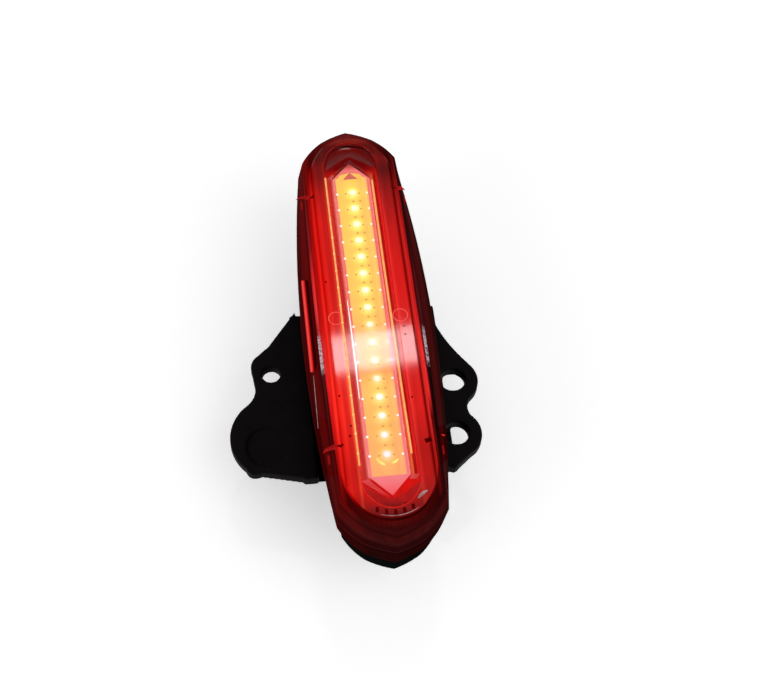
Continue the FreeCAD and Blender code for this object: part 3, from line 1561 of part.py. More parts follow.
def make_saddle():
    """Rubber saddle: post seat, cradle walls, two right ears, hook ear, pull tab."""
    body = make_body("saddle_pad")
    side = make_sketch(body, "saddle_side", role="YZ_Plane", offset=-s("cradle_out"))
    draw_outline(
        side,
        [
            (s("saddle_near"), 0),
            (s("saddle_far"), 0),
            (s("saddle_far_top"), EAR_TOP - s("ear_deep")),
            (s("saddle_far_top"), EAR_TOP),
            (s("saddle_near_top"), EAR_TOP),
            (s("saddle_near_top"), EAR_TOP - s("ear_deep")),
        ],
    )
    pad(body, side, s("cradle_out") * 2, "saddle_block")
    angle = math.radians(s("seat_half_angle").value)
    seat_half = s("post_seat") * math.sin(angle)
    drop = s("post_seat") * math.cos(angle)
    foot_out = seat_half + s("land_wide")
    ear_low = EAR_TOP - s("ear_deep")
    for across in (-1, 1):
        spot = "right" if across > 0 else "left"
        flank = make_sketch(body, "saddle_flank_" + spot, role="XZ_Plane", offset=-s("saddle_reach"))
        outer = s("cradle_out") + s("past")
        corners = [
            (foot_out * across, -s("past")),
            (outer * across, -s("past")),
            (outer * across, ear_low),
            (s("cradle_out") * across, ear_low),
            (foot_out * across, ear_low - s("flank_rise")),
        ]
        if across < 0:
            corners = [corners[0]] + corners[:0:-1]
        draw_outline(flank, corners)
        pocket(body, flank, s("saddle_reach") * 2, "saddle_flank_cut_" + spot, down=False)
    seat = make_sketch(body, "post_seat_circle", role="XZ_Plane", offset=-s("saddle_reach"))
    draw_circle(seat, 0, -drop, s("post_seat"))
    pocket(body, seat, s("saddle_reach") * 2, "post_seat_cut", down=False)
    add_right_ears(body)
    add_left_wing(body)
    cut_block(
        body,
        "cradle_cut",
        -s("cradle_in"),
        s("cradle_in"),
        s("saddle_near_top") - s("past"),
        s("saddle_far_top") + s("past"),
        s("saddle_top"),
        EAR_TOP,
    )
    gap = s("fit_gap")
    cut_block(
        body,
        "core_recess",
        -s("core_half") - gap,
        s("core_half") + gap,
        s("core_near") - gap,
        s("core_far") + gap,
        s("saddle_top") - s("core_deep"),
        s("core_deep") + s("past"),
    )
    slot = s("latch_half") + s("latch_gap")
    cut_block(
        body,
        "latch_well",
        -slot,
        slot,
        s("saddle_near_top") - s("past"),
        LATCH_ROOM_END,
        s("saddle_top") - s("latch_well"),
        s("latch_well") + s("past"),
    )
    return body


# The right web's outer edge, from its near end to its far end. Each corner: the ear,
# the way from its eye as shares of the ear's radius, the swell of the edge after it.
WEB_EDGE = [
    ("ear_b", 0.57, -0.8, None),
    ("ear_b", 0.7, 0.7, -0.6),
    ("ear_a", 0.6, -0.8, None),
    ("ear_a", 0.7, 0.74, -0.5),
]

# The left wing's outer edge, from its far end to its near end. Each corner: in from
# that reach, along from the hook ear's eye or from the saddle's near end, and swell.
WING_EDGE = [
    ("hook_reach", "eye", 3.2, 5.4, None),
    ("hook_reach", "eye", 0.7, 3.3, 0.35),
    ("hook_reach", "eye", 0.2, 0.8, None),
    ("hook_reach", "eye", 0.5, -1.9, -0.5),
    ("tab_reach", "eye", 3.1, -5.4, 2.65),
    ("tab_reach", "end", 2.2, 2.9, 0.7),
    ("tab_reach", "end", 4.6, 1.9, None),
]


def corner_of(x, y, swell):
    """A corner of an outline, with or without a swell after it."""
    return (x, y) if swell is None else (x, y, swell)


def add_right_ears(body):
    """Two round ears with band eyes, joined by a web."""
    low = EAR_TOP - s("ear_deep")
    root = s("cradle_out") - s("wing_root")
    ring = s("ear_size")
    a_x, a_y = s("ear_a_x"), s("ear_a_y")
    b_x, b_y = s("ear_b_x"), s("ear_b_y")
    web = make_sketch(body, "right_web", offset=low)
    near = s("saddle_near_top") - s("web_past")
    far = s("saddle_far_top") - s("web_back")
    corners = [(root, near), (root + s("web_foot"), near)]
    for ear, across, along, swell in WEB_EDGE:
        corners.append(corner_of(s(ear + "_x") + ring * across, s(ear + "_y") + ring * along, swell))
    corners += [(root + s("web_foot"), far - s("web_slope")), (root, far)]
    draw_outline(web, corners)
    pad(body, web, s("ear_deep"), "right_web_pad")
    disc(body, "ear_a", a_x, a_y, ring, low, s("ear_deep"))
    disc(body, "ear_b", b_x, b_y, ring, low, s("ear_deep"))
    cut_disc(body, "eye_a", a_x, a_y, s("eye_size"), low, s("ear_deep") + s("past"))
    cut_disc(body, "eye_b", b_x, b_y, s("eye_size"), low, s("ear_deep") + s("past"))


def add_left_wing(body):
    """Hook ear with one small eye, and the broad pull tab with its thumb dish."""
    low = EAR_TOP - s("ear_deep")
    root = s("cradle_out") - s("wing_root")
    hook_x, hook_y = s("hook_x"), s("hook_y")
    near = s("saddle_near_top")
    wing = make_sketch(body, "left_wing", offset=low)
    corners = [(-root, s("saddle_far_top") + s("wing_past"))]
    for reach, start, back, along, swell in WING_EDGE:
        from_y = hook_y if start == "eye" else near
        corners.append(corner_of(-s(reach) + back, from_y + along, swell))
    corners.append((-root, near))
    draw_outline(wing, corners)
    pad(body, wing, s("ear_deep"), "left_wing_pad")
    past = s("past")
    cut_disc(body, "hook_eye", -hook_x, hook_y, s("hook_eye"), low - past, s("ear_deep") + past * 2)
    dish_plan = make_sketch(body, "thumb_dish_plan", offset=EAR_TOP)
    dish_x = s("dish_in") - s("tab_reach")
    dish_y = near + s("dish_up")
    dish = s("dish_half")
    round_out = s("dish_round")
    draw_outline(
        dish_plan,
        [
            (dish_x - dish, dish_y - dish, round_out),
            (dish_x + dish, dish_y - dish, round_out),
            (dish_x + dish, dish_y + dish, round_out),
            (dish_x - dish, dish_y + dish, round_out),
        ],
    )
    pocket(body, dish_plan, s("dish_deep"), "thumb_dish")


def check_and_write(pieces):
    """Stop on any failed object or shape, then write one file per piece."""
    doc.recompute()
    for thing in doc.Objects:
        for word in ("Invalid", "Error"):
            if word in thing.State:
                raise RuntimeError(thing.Name + " is " + word)
    for piece in pieces:
        shape = piece.Shape
        if shape.isNull() or not shape.isValid() or len(shape.Solids) != 1:
            raise RuntimeError(piece.Label + " is not one sound solid")
    os.makedirs("parts", exist_ok=True)
    for piece in pieces:
        piece.Shape.exportStep("parts/" + piece.Label + ".step")
        box = piece.Shape.BoundBox
        print(
            piece.Label,
            round(piece.Shape.Volume, 1),
            [round(v, 2) for v in (box.XMin, box.XMax, box.YMin, box.YMax, box.ZMin, box.ZMax)],
        )


bodies = [
    make_lens_cover(),
    make_light_window(),
    make_reflector_tray(),
    make_led_board(),
    make_led_gel(),
    make_rear_housing(),
    make_seal_ring(),
    make_main_board(),
    make_button(),
    make_port_cover(),
    make_clip_plate(),
    make_latch(),
    make_latch_pin(),
    make_core_plate(),
    make_saddle(),
]
bodies += make_housing_screws()
bodies += make_clip_screws()
battery = make_battery()
switch = make_switch()
port = make_port()
bodies += [battery[0], switch[0], port[0]]
plain = [battery[1], switch[1], port[1]] + make_leds() + make_board_pieces()
for piece in bodies:
    place(piece)
check_and_write(bodies + plain)
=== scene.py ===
import bpy
import bmesh
import json
import math
from mathutils import Matrix, Quaternion, Vector


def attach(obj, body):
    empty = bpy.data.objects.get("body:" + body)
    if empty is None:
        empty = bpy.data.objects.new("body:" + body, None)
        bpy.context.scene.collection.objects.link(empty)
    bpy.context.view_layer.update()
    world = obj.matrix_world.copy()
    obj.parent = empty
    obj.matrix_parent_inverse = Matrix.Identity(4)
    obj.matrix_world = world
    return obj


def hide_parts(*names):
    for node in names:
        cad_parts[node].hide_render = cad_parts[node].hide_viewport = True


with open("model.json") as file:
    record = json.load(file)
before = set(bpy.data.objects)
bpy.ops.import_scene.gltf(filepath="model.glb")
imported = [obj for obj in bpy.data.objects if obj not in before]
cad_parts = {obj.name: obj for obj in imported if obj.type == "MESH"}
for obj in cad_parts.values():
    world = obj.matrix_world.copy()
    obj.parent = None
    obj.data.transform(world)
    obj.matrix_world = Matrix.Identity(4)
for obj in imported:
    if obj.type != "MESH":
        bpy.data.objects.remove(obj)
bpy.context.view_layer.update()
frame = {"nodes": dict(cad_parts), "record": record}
nodes = frame["nodes"]

# Sizes, mm. Across is measured from the light's centre line, along and height in the part's frame.
MM = 0.001
CENTRE = 2.85
NOSE = 38.6
JOINT = 20.0
RIM_BREAK = 24.5
RIM = 25.0
PANEL_BREAK = 25.7
PANEL = 26.2
WINDOW = 26.35
STRIP = 24.2
FILM = 24.6
TRAY = 24.9
LAMP_PITCH = 3.3
LAMP_COUNT = 16
LAMP_MID = 0.2
LAMP_FIRST = LAMP_MID - (LAMP_COUNT - 1) / 2 * LAMP_PITCH
LAMP_ROWS = [LAMP_FIRST + LAMP_PITCH * number for number in range(LAMP_COUNT)]
STRIP_HALF = 2.6
STRIP_NEAR = -27.85

# Corners of the lens's section, as half width and height
RIM_CORNERS = ((8.5, RIM_BREAK), (8.0, RIM), (7.4, RIM))
PANEL_CORNERS = ((7.2, PANEL_BREAK), (6.8, PANEL))

# A round end: width of its middle arc, and how far the arcs swell, as shares
SHOULDER_SHARE = 0.6
END_SWELL = 0.38
SIDE_SWELL = 0.26

# Polished plastic
PLASTIC_IOR = 1.49
POLISH_ROUGH = (0.03, 0.05)


# Node helpers
def new_material(name):
    mat = bpy.data.materials.new(name)
    mat.use_nodes = True
    tree = mat.node_tree
    tree.nodes.clear()
    return mat, tree


def link(tree, out, into):
    tree.links.new(out, into)


def feed(tree, thing, socket):
    """A plain number or colour goes on the socket, anything else is linked to it."""
    if isinstance(thing, (int, float)):
        socket.default_value = thing
    elif isinstance(thing, tuple):
        socket.default_value = (*thing, 1.0)
    else:
        link(tree, thing, socket)


def calc(tree, operation, a, b=None, clamp=False):
    made = tree.nodes.new("ShaderNodeMath")
    made.operation = operation
    made.use_clamp = clamp
    feed(tree, a, made.inputs[0])
    if b is not None:
        feed(tree, b, made.inputs[1])
    return made.outputs[0]


def coords(tree):
    return tree.nodes.new("ShaderNodeTexCoord").outputs["Object"]


def axis(tree, place, number):
    """One axis of a shaded point, in mm."""
    made = tree.nodes.new("ShaderNodeSeparateXYZ")
    link(tree, place, made.inputs[0])
    return calc(tree, "DIVIDE", made.outputs[number], MM)


def across_of(tree, place):
    return calc(tree, "SUBTRACT", axis(tree, place, 0), CENTRE)


def along_of(tree, place):
    return axis(tree, place, 1)


def height_of(tree, place):
    return axis(tree, place, 2)


def noise(tree, vector, scale, detail=4.0, rough=0.55):
    made = tree.nodes.new("ShaderNodeTexNoise")
    made.inputs["Scale"].default_value = scale
    made.inputs["Detail"].default_value = detail
    made.inputs["Roughness"].default_value = rough
    link(tree, vector, made.inputs["Vector"])
    return made.outputs["Fac"]


def ramp(tree, fac, stops):
    made = tree.nodes.new("ShaderNodeValToRGB")
    steps = made.color_ramp.elements
    while len(steps) < len(stops):
        steps.new(0.5)
    for step, (spot, colour) in zip(steps, stops):
        step.position = spot
        step.color = (*colour, 1.0)
    link(tree, fac, made.inputs["Fac"])
    return made.outputs["Color"]


def profile(tree, value, low, high, stops):
    """Colours at places on an axis, in mm."""
    share = calc(tree, "DIVIDE", calc(tree, "SUBTRACT", value, low), high - low, clamp=True)
    return ramp(tree, share, [((spot - low) / (high - low), colour) for spot, colour in stops])


def spread(tree, fac, low, high):
    made = tree.nodes.new("ShaderNodeMapRange")
    made.inputs["To Min"].default_value = low
    made.inputs["To Max"].default_value = high
    link(tree, fac, made.inputs["Value"])
    return made.outputs["Result"]


def above(tree, value, low, soft):
    """0 below a place on an axis, 1 past it."""
    return calc(tree, "DIVIDE", calc(tree, "SUBTRACT", value, low), soft, clamp=True)


def outside(tree, value, low, soft):
    """0 in the middle of an axis, 1 past a place on either side."""
    return above(tree, calc(tree, "ABSOLUTE", value), low, soft)


def blend(tree, factor, under, over, mode="MIX"):
    made = tree.nodes.new("ShaderNodeMix")
    made.data_type = "RGBA"
    made.blend_type = mode
    feed(tree, factor, made.inputs["Factor"])
    feed(tree, under, made.inputs["A"])
    feed(tree, over, made.inputs["B"])
    return made.outputs["Result"]


def tinted(tree, colour, tint):
    """A colour multiplied by another."""
    return blend(tree, 1.0, colour, tint, "MULTIPLY")


def scaled(tree, colour, amount):
    """A colour made lighter or darker by a number."""
    made = tree.nodes.new("ShaderNodeVectorMath")
    made.operation = "SCALE"
    link(tree, colour, made.inputs[0])
    feed(tree, amount, made.inputs["Scale"])
    return made.outputs[0]


def streaked(tree, place, colour, scale, pull, low, high):
    """A colour made uneven, between two shares of itself, by noise drawn out along the light."""
    made = tree.nodes.new("ShaderNodeVectorMath")
    made.operation = "MULTIPLY"
    link(tree, place, made.inputs[0])
    made.inputs[1].default_value = (1.0, pull, 1.0)
    return scaled(tree, colour, spread(tree, noise(tree, made.outputs[0], scale, 3.0, 0.6), low, high))


def bump(tree, height, strength, distance):
    made = tree.nodes.new("ShaderNodeBump")
    made.inputs["Strength"].default_value = strength
    made.inputs["Distance"].default_value = distance
    link(tree, height, made.inputs["Height"])
    return made.outputs["Normal"]


def output(tree, shader):
    made = tree.nodes.new("ShaderNodeOutputMaterial")
    link(tree, shader, made.inputs["Surface"])


def principled(tree, base, rough, normal, metallic=0.0, specular=0.5):
    made = tree.nodes.new("ShaderNodeBsdfPrincipled")
    feed(tree, base, made.inputs["Base Color"])
    feed(tree, rough, made.inputs["Roughness"])
    link(tree, normal, made.inputs["Normal"])
    made.inputs["Metallic"].default_value = metallic
    made.inputs["Specular IOR Level"].default_value = specular
    return made


def clear_shader(tree, colour):
    made = tree.nodes.new("ShaderNodeBsdfTransparent")
    link(tree, colour, made.inputs["Color"])
    return made.outputs[0]


def mixed(tree, share, one, two):
    made = tree.nodes.new("ShaderNodeMixShader")
    link(tree, share, made.inputs[0])
    link(tree, one, made.inputs[1])
    link(tree, two, made.inputs[2])
    return made.outputs[0]


def polished(tree, under, gloss, broad, fine):
    """A shader under a polished face, which reflects by its gloss."""
    face = tree.nodes.new("ShaderNodeBsdfGlossy")
    face.inputs["Color"].default_value = (1, 1, 1, 1)
    link(tree, spread(tree, broad, *POLISH_ROUGH), face.inputs["Roughness"])
    link(tree, bump(tree, fine, 0.04, 0.000002), face.inputs["Normal"])
    edge = tree.nodes.new("ShaderNodeFresnel")
    edge.inputs["IOR"].default_value = PLASTIC_IOR
    return mixed(tree, calc(tree, "MULTIPLY", edge.outputs[0], gloss), under, face.outputs[0])


# Kinds of material
MATS = {}


def solid_material(
    name, dark, light, rough=(0.4, 0.6), grain=2500.0, depth=0.00003, metallic=0.0, wear=None,
    specular=0.5,
):
    """Moulded, painted or metal finish: two tones in broad noise, fine grain as bump."""
    mat, tree = new_material(name)
    place = coords(tree)
    broad = noise(tree, place, 320.0, 3.0)
    fine = noise(tree, place, grain, 2.0)
    colour = ramp(tree, broad, [(0.3, dark), (0.7, light)])
    if wear:
        worn = noise(tree, place, 900.0, 6.0, 0.7)
        mask = ramp(tree, worn, [(0.62, (0, 0, 0)), (0.72, (1, 1, 1))])
        colour = blend(tree, mask, colour, wear)
    normal = bump(tree, fine, 0.6, depth)
    shader = principled(tree, colour, spread(tree, broad, *rough), normal, metallic, specular)
    output(tree, shader.outputs[0])
    MATS[name] = mat


def lit_material(name, tone_of, base=0.15, glow=0.87, rough=(0.3, 0.5), uneven=(0.85, 1.12)):
    """Plastic lit from inside, its light painted in as a glow. tone_of(tree, place) gives its colour, with
    painted light and shade, from place to place.
    """
    mat, tree = new_material(name)
    place = coords(tree)
    tone = tone_of(tree, place)
    mottled = noise(tree, place, 420.0, 4.0, 0.6)
    normal = bump(tree, noise(tree, place, 1800.0, 2.0), 0.3, 0.00002)
    shader = principled(tree, scaled(tree, tone, base), spread(tree, mottled, *rough), normal, specular=0.0)
    link(tree, tone, shader.inputs["Emission Color"])
    lift = spread(tree, mottled, uneven[0] * glow, uneven[1] * glow)
    link(tree, lift, shader.inputs["Emission Strength"])
    output(tree, shader.outputs[0])
    MATS[name] = mat


def mark_material(name, dark, light, base=0.2, glow=0.9):
    """Two close tones for a thin lit line or mark."""

    def tone(tree, place):
        return ramp(tree, noise(tree, place, 1400.0, 2.0), [(0.3, dark), (0.7, light)])

    lit_material(name, tone, base, glow)
    return MATS[name]


# Tones of the lit pieces
def lamp_reach(tree, place):
    """Distance of a point from the nearest lamp's middle."""
    across = across_of(tree, place)
    steps = calc(tree, "DIVIDE", calc(tree, "SUBTRACT", along_of(tree, place), LAMP_FIRST), LAMP_PITCH)
    whole = calc(tree, "MINIMUM", calc(tree, "MAXIMUM", calc(tree, "ROUND", steps), 0), LAMP_COUNT - 1)
    off = calc(tree, "MULTIPLY", calc(tree, "SUBTRACT", steps, whole), LAMP_PITCH)
    square = calc(tree, "ADD", calc(tree, "MULTIPLY", off, off), calc(tree, "MULTIPLY", across, across))
    return calc(tree, "SQRT", square)


def strip_tone(tree, place):
    """Orange coat: a white core and a yellow halo at each lamp, amber between."""
    lit = profile(
        tree, lamp_reach(tree, place), 0.0, 3.2,
        [
            (0.0, (1.4, 1.35, 1.1)),
            (0.46, (1.3, 1.2, 0.75)),
            (0.62, (1.05, 0.95, 0.30)),
            (1.05, (0.98, 0.80, 0.16)),
            (1.6, (0.98, 0.68, 0.13)),
            (3.2, (0.98, 0.60, 0.125)),
        ],
    )
    side = profile(
        tree, across_of(tree, place), -STRIP_HALF, STRIP_HALF,
        [
            (-2.6, (1, 0.97, 1.1)),
            (-1.6, (1, 0.95, 1)),
            (-0.4, (1, 1.02, 1)),
            (0.7, (1, 0.98, 0.97)),
            (1.5, (1, 0.86, 0.97)),
            (2.2, (1, 0.98, 1.25)),
            (2.6, (1, 0.80, 1.1)),
        ],
    )
    # Along the coat: painted shade deepens it to orange from 10.8 to 2.4 mm on the near side of the middle,
    # offsetting the far softbox's reflection above it.
    ends = profile(
        tree, along_of(tree, place), -30.0, 30.0,
        [
            (-30, (1, 0.74, 1.4)),
            (-26.5, (1, 0.72, 1.2)),
            (-20, (1, 0.78, 1.05)),
            (-13, (1, 0.92, 1.15)),
            (-10.8, (1, 0.72, 0.80)),
            (-9.5, (1, 0.50, 0.45)),
            (-4.5, (1, 0.52, 0.50)),
            (-2.4, (1, 0.68, 0.75)),
            (0, (1, 0.92, 1.0)),
            (6, (1, 1, 1.0)),
            (30, (0.99, 1.02, 0.92)),
        ],
    )
    tone = tinted(tree, tinted(tree, lit, side), ends)
    specks = noise(tree, place, 2600.0, 3.0, 0.65)
    return scaled(tree, tone, spread(tree, specks, 0.93, 1.05))


def board_tone(tree, place):
    """Lamp board's bare ends, their glow painted on: pink near, redder far, fading dark past 30 mm at the
    far end.
    """
    return profile(
        tree, along_of(tree, place), -32.0, 33.0,
        [
            (-32, (0.80, 0.05, 0.055)),
            (-30.6, (0.96, 0.13, 0.15)),
            (-28.2, (0.97, 0.24, 0.27)),
            (0, (0.95, 0.18, 0.16)),
            (30.1, (0.97, 0.22, 0.20)),
            (31.0, (0.60, 0.055, 0.042)),
            (32.0, (0.22, 0.007, 0.007)),
            (33, (0.12, 0.002, 0.002)),
        ],
    )


def tray_tone(tree, place):
    """Red bezel round the lamps, its glow painted on, with painted highlights and painted reflections of
    the strip along its steps and walls, dimmer towards its ends, and painted darker on its lower faces.
    """
    across = across_of(tree, place)
    along = along_of(tree, place)
    # Across: the bright lines are painted highlights and painted reflections of the strip along its steps
    # and walls, with darker lines between.
    lines = profile(
        tree, across, -7.4, 7.4,
        [
            (-7.4, (0.55, 0.004, 0.003)),
            (-5.2, (0.66, 0.006, 0.004)),
            (-4.3, (0.84, 0.038, 0.012)),
            (-3.85, (0.70, 0.004, 0.003)),
            (-3.5, (0.62, 0.010, 0.010)),
            (-3.2, (0.95, 0.20, 0.14)),
            (-3.0, (0.96, 0.22, 0.18)),
            (2.9, (0.93, 0.13, 0.06)),
            (3.15, (0.90, 0.05, 0.03)),
            (3.5, (0.92, 0.16, 0.05)),
            (3.72, (0.42, 0.002, 0.001)),
            (3.95, (0.46, 0.002, 0.001)),
            (4.2, (0.80, 0.012, 0.010)),
            (5.4, (0.62, 0.005, 0.004)),
            (7.4, (0.50, 0.003, 0.003)),
        ],
    )
    # Painted fall-off of the glow towards both ends.
    ends = profile(
        tree, along, -NOSE, NOSE,
        [
            (-NOSE, (0.12, 0.4, 0.4)),
            (-33.6, (0.22, 0.4, 0.4)),
            (-32.4, (0.42, 0.4, 0.4)),
            (-31.8, (0.85, 0.8, 0.7)),
            (-26, (1, 1, 1)),
            (24, (1, 1, 1)),
            (28, (0.75, 0.6, 0.5)),
            (30, (0.26, 0.1, 0.1)),
            (31, (0.20, 0.1, 0.1)),
            (NOSE, (0.16, 0.1, 0.1)),
        ],
    )
    lines = blend(tree, outside(tree, along, 28.2, 0.6), lines, (0.78, 0.006, 0.005))
    tone = blend(tree, outside(tree, across, 8.2, 0.2), tinted(tree, lines, ends), (0.50, 0.014, 0.014))
    # Painted shade: faces below 24.3 mm are darker.
    top = above(tree, height_of(tree, place), 24.3, 0.4)
    tone = blend(tree, top, tinted(tree, tone, (0.55, 0.5, 0.5)), tone)
    return streaked(tree, place, tone, 1500.0, 0.06, 0.72, 1.2)


def film_tone(tree, place):
    """Dark red film past the lamps' board, its glow painted on: lighter at the near end, painted shade
    towards the far end.
    """
    tone = profile(
        tree, along_of(tree, place), -35.0, 35.0,
        [
            (-35.0, (0.20, 0.003, 0.003)),
            (-33.9, (0.24, 0.005, 0.005)),
            (-33.2, (0.17, 0.002, 0.003)),
            (-32.4, (0.42, 0.006, 0.006)),
            (-29.0, (0.50, 0.006, 0.005)),
            (29.0, (0.26, 0.003, 0.003)),
            (31.0, (0.11, 0.001, 0.001)),
            (33.0, (0.14, 0.002, 0.002)),
            (35.0, (0.16, 0.003, 0.003)),
        ],
    )
    return streaked(tree, place, tone, 1100.0, 0.5, 0.35, 1.55)


def button_tone(tree, place):
    """Red bar, with a painted highlight along its outer edge and painted shade against the wall."""
    tone = profile(
        tree, across_of(tree, place), -10.1, -9.1,
        [
            (-10.0, (0.80, 0.030, 0.026)),
            (-9.86, (0.93, 0.10, 0.092)),
            (-9.74, (0.88, 0.040, 0.036)),
            (-9.58, (0.74, 0.009, 0.008)),
            (-9.46, (0.16, 0.001, 0.001)),
            (-9.3, (0.030, 0.001, 0.001)),
            (-9.1, (0.016, 0.001, 0.001)),
        ],
    )
    return streaked(tree, place, tone, 900.0, 0.2, 0.7, 1.2)


def housing_tone(tree, place):
    """Black tub with a dull red cast painted on from the lit shell above it, painted bright lines at 16.45
    mm and just under the joint, and painted shade on its right side.
    """
    tone = profile(
        tree, height_of(tree, place), 12.0, JOINT,
        [
            (12.0, (0.004, 0.003, 0.0035)),
            (14.5, (0.006, 0.002, 0.002)),
            (15.9, (0.018, 0.0016, 0.0018)),
            (16.35, (0.020, 0.001, 0.001)),
            (16.45, (0.085, 0.005, 0.005)),
            (16.6, (0.030, 0.0015, 0.0015)),
            (18.5, (0.036, 0.0016, 0.0015)),
            (19.7, (0.022, 0.001, 0.001)),
            (19.9, (0.020, 0.001, 0.001)),
            (19.98, (0.16, 0.008, 0.008)),
        ],
    )
    # Painted shade: darker towards the right side.
    painted_side_shade = profile(
        tree, across_of(tree, place), -10.0, 10.0,
        [(-10.0, (1, 1, 1)), (-5.5, (0.75, 1.2, 1.2)), (-3.5, (0.5, 1.4, 1.4)), (10.0, (0.45, 0.8, 0.8))],
    )
    return streaked(tree, place, tinted(tree, tone, painted_side_shade), 600.0, 0.1, 0.6, 1.35)


# Painted light and shade of the lens, from its foot up
def lens_wall(tree, place):
    """Dark sloping walls with a red line at their foot, their glow painted on and darker to the right by
    painted shade.
    """
    tone = profile(
        tree, height_of(tree, place), JOINT, RIM_BREAK,
        [
            (20.0, (0.16, 0.006, 0.006)),
            (20.14, (0.045, 0.0008, 0.001)),
            (21.2, (0.050, 0.0008, 0.001)),
            (22.0, (0.105, 0.003, 0.003)),
            (22.8, (0.115, 0.002, 0.002)),
            (23.7, (0.105, 0.002, 0.002)),
            (24.1, (0.075, 0.001, 0.001)),
            (24.4, (0.055, 0.001, 0.001)),
        ],
    )
    # Painted shade: the walls are darker towards the right.
    painted_side_shade = profile(
        tree, across_of(tree, place), -9.0, 9.0,
        [(-9.0, (1, 1, 1)), (-5.5, (0.8, 0.9, 0.9)), (-3.5, (0.5, 0.9, 0.9)), (9.0, (0.55, 0.7, 0.7))],
    )
    ends = profile(
        tree, along_of(tree, place), -NOSE, NOSE,
        [(-NOSE, (0.85, 2.2, 2.2)), (-34.5, (0.8, 2.0, 2.0)), (-32.0, (0.8, 1, 1)), (NOSE, (1, 1, 1))],
    )
    tone = streaked(tree, place, tinted(tree, tone, painted_side_shade), 700.0, 0.08, 0.55, 1.4)
    return tinted(tree, tone, ends)


def lens_rim_edge(tree, place):
    """Broken edge under the rim, with painted light along it and a painted speckled reflection on each
    shoulder.
    """
    along = along_of(tree, place)
    tone = profile(
        tree, across_of(tree, place), -8.6, 8.6,
        [
            (-8.5, (0.30, 0.006, 0.006)),
            (-8.15, (0.62, 0.030, 0.036)),
            (-7.9, (0.40, 0.004, 0.004)),
            (-5.0, (0.10, 0.003, 0.003)),
            (7.8, (0.08, 0.002, 0.003)),
            (8.2, (0.050, 0.006, 0.008)),
            (8.5, (0.040, 0.003, 0.004)),
        ],
    )
    lit = profile(
        tree, along, -NOSE, NOSE,
        [
            (-NOSE, (0.5, 1.5, 1.5)),
            (-34.0, (0.4, 0.7, 0.7)),
            (-22.0, (0.13, 0.10, 0.12)),
            (-10.0, (0.14, 0.40, 0.40)),
            (-3.0, (0.8, 1, 1)),
            (1.0, (1.3, 1.8, 1.8)),
            (8.0, (1.35, 0.9, 0.9)),
            (14.0, (0.45, 0.5, 0.5)),
            (24.0, (0.35, 0.5, 0.5)),
            (NOSE, (0.4, 1.0, 1.0)),
        ],
    )
    tone = tinted(tree, streaked(tree, place, tone, 900.0, 0.12, 0.6, 1.25), lit)
    # Painted reflection: pale grey specks on both shoulders, round 6.3 mm on the near side of the middle.
    past_glint = outside(tree, calc(tree, "ADD", along, 6.3), 2.2, 1.8)
    specks = ramp(tree, noise(tree, place, 2300.0, 3.0, 0.8), [(0.40, (0, 0, 0)), (0.56, (1, 1, 1))])
    speck_glint = calc(tree, "MULTIPLY", calc(tree, "SUBTRACT", 1.0, past_glint), specks)
    return blend(tree, speck_glint, tone, (0.62, 0.46, 0.50))


def right_side_ends(tree, place):
    """The right side of the panel is dark at its near end."""
    return profile(
        tree, along_of(tree, place), -NOSE, NOSE,
        [
            (-NOSE, (0.4, 0.4, 0.4)),
            (-26.0, (0.30, 0.3, 0.3)),
            (-19.0, (0.15, 0.15, 0.15)),
            (-14.5, (1, 1, 1)),
            (NOSE, (1, 1, 1)),
        ],
    )


def lens_ledge(tree, place):
    """Flat rim beside the panel, its glow painted on: bright lines near its edges, a brighter painted
    stretch round 12 mm on the near side of the middle, dimmer towards both ends.
    """
    across = across_of(tree, place)
    tone = profile(
        tree, across, -8.2, 8.2,
        [
            (-8.0, (0.42, 0.002, 0.002)),
            (-7.6, (0.58, 0.006, 0.005)),
            (-6.6, (0.16, 0.001, 0.001)),
            (-3.6, (0.30, 0.003, 0.003)),
            (0.0, (0.55, 0.006, 0.006)),
            (3.6, (0.30, 0.003, 0.003)),
            (6.6, (0.10, 0.001, 0.001)),
            (7.3, (0.30, 0.004, 0.004)),
            (7.45, (0.64, 0.012, 0.012)),
            (7.62, (0.62, 0.012, 0.012)),
            (7.78, (0.07, 0.001, 0.002)),
            (8.0, (0.06, 0.001, 0.002)),
        ],
    )
    ends = profile(
        tree, along_of(tree, place), -NOSE, NOSE,
        [
            (-38.0, (0.035, 0.3, 0.3)),
            (-37.0, (0.07, 0.5, 0.5)),
            (-36.0, (0.17, 0.6, 0.6)),
            (-34.5, (0.22, 0.6, 0.6)),
            (-30.0, (0.40, 0.6, 0.6)),
            (-24.0, (0.8, 1, 1)),
            (-12.0, (1.5, 2.5, 2.5)),
            (0.0, (1.0, 1.2, 1.2)),
            (14.0, (0.7, 0.8, 0.8)),
            (26.0, (0.45, 0.6, 0.6)),
            (31.0, (0.32, 0.8, 0.8)),
            (35.5, (0.36, 2.0, 2.0)),
            (NOSE, (0.06, 1.5, 1.5)),
        ],
    )
    tone = tinted(tree, streaked(tree, place, tone, 2200.0, 0.08, 0.5, 1.4), ends)
    outer = above(tree, across, 7.2, 0.1)
    return blend(tree, outer, tone, tinted(tree, tone, right_side_ends(tree, place)))


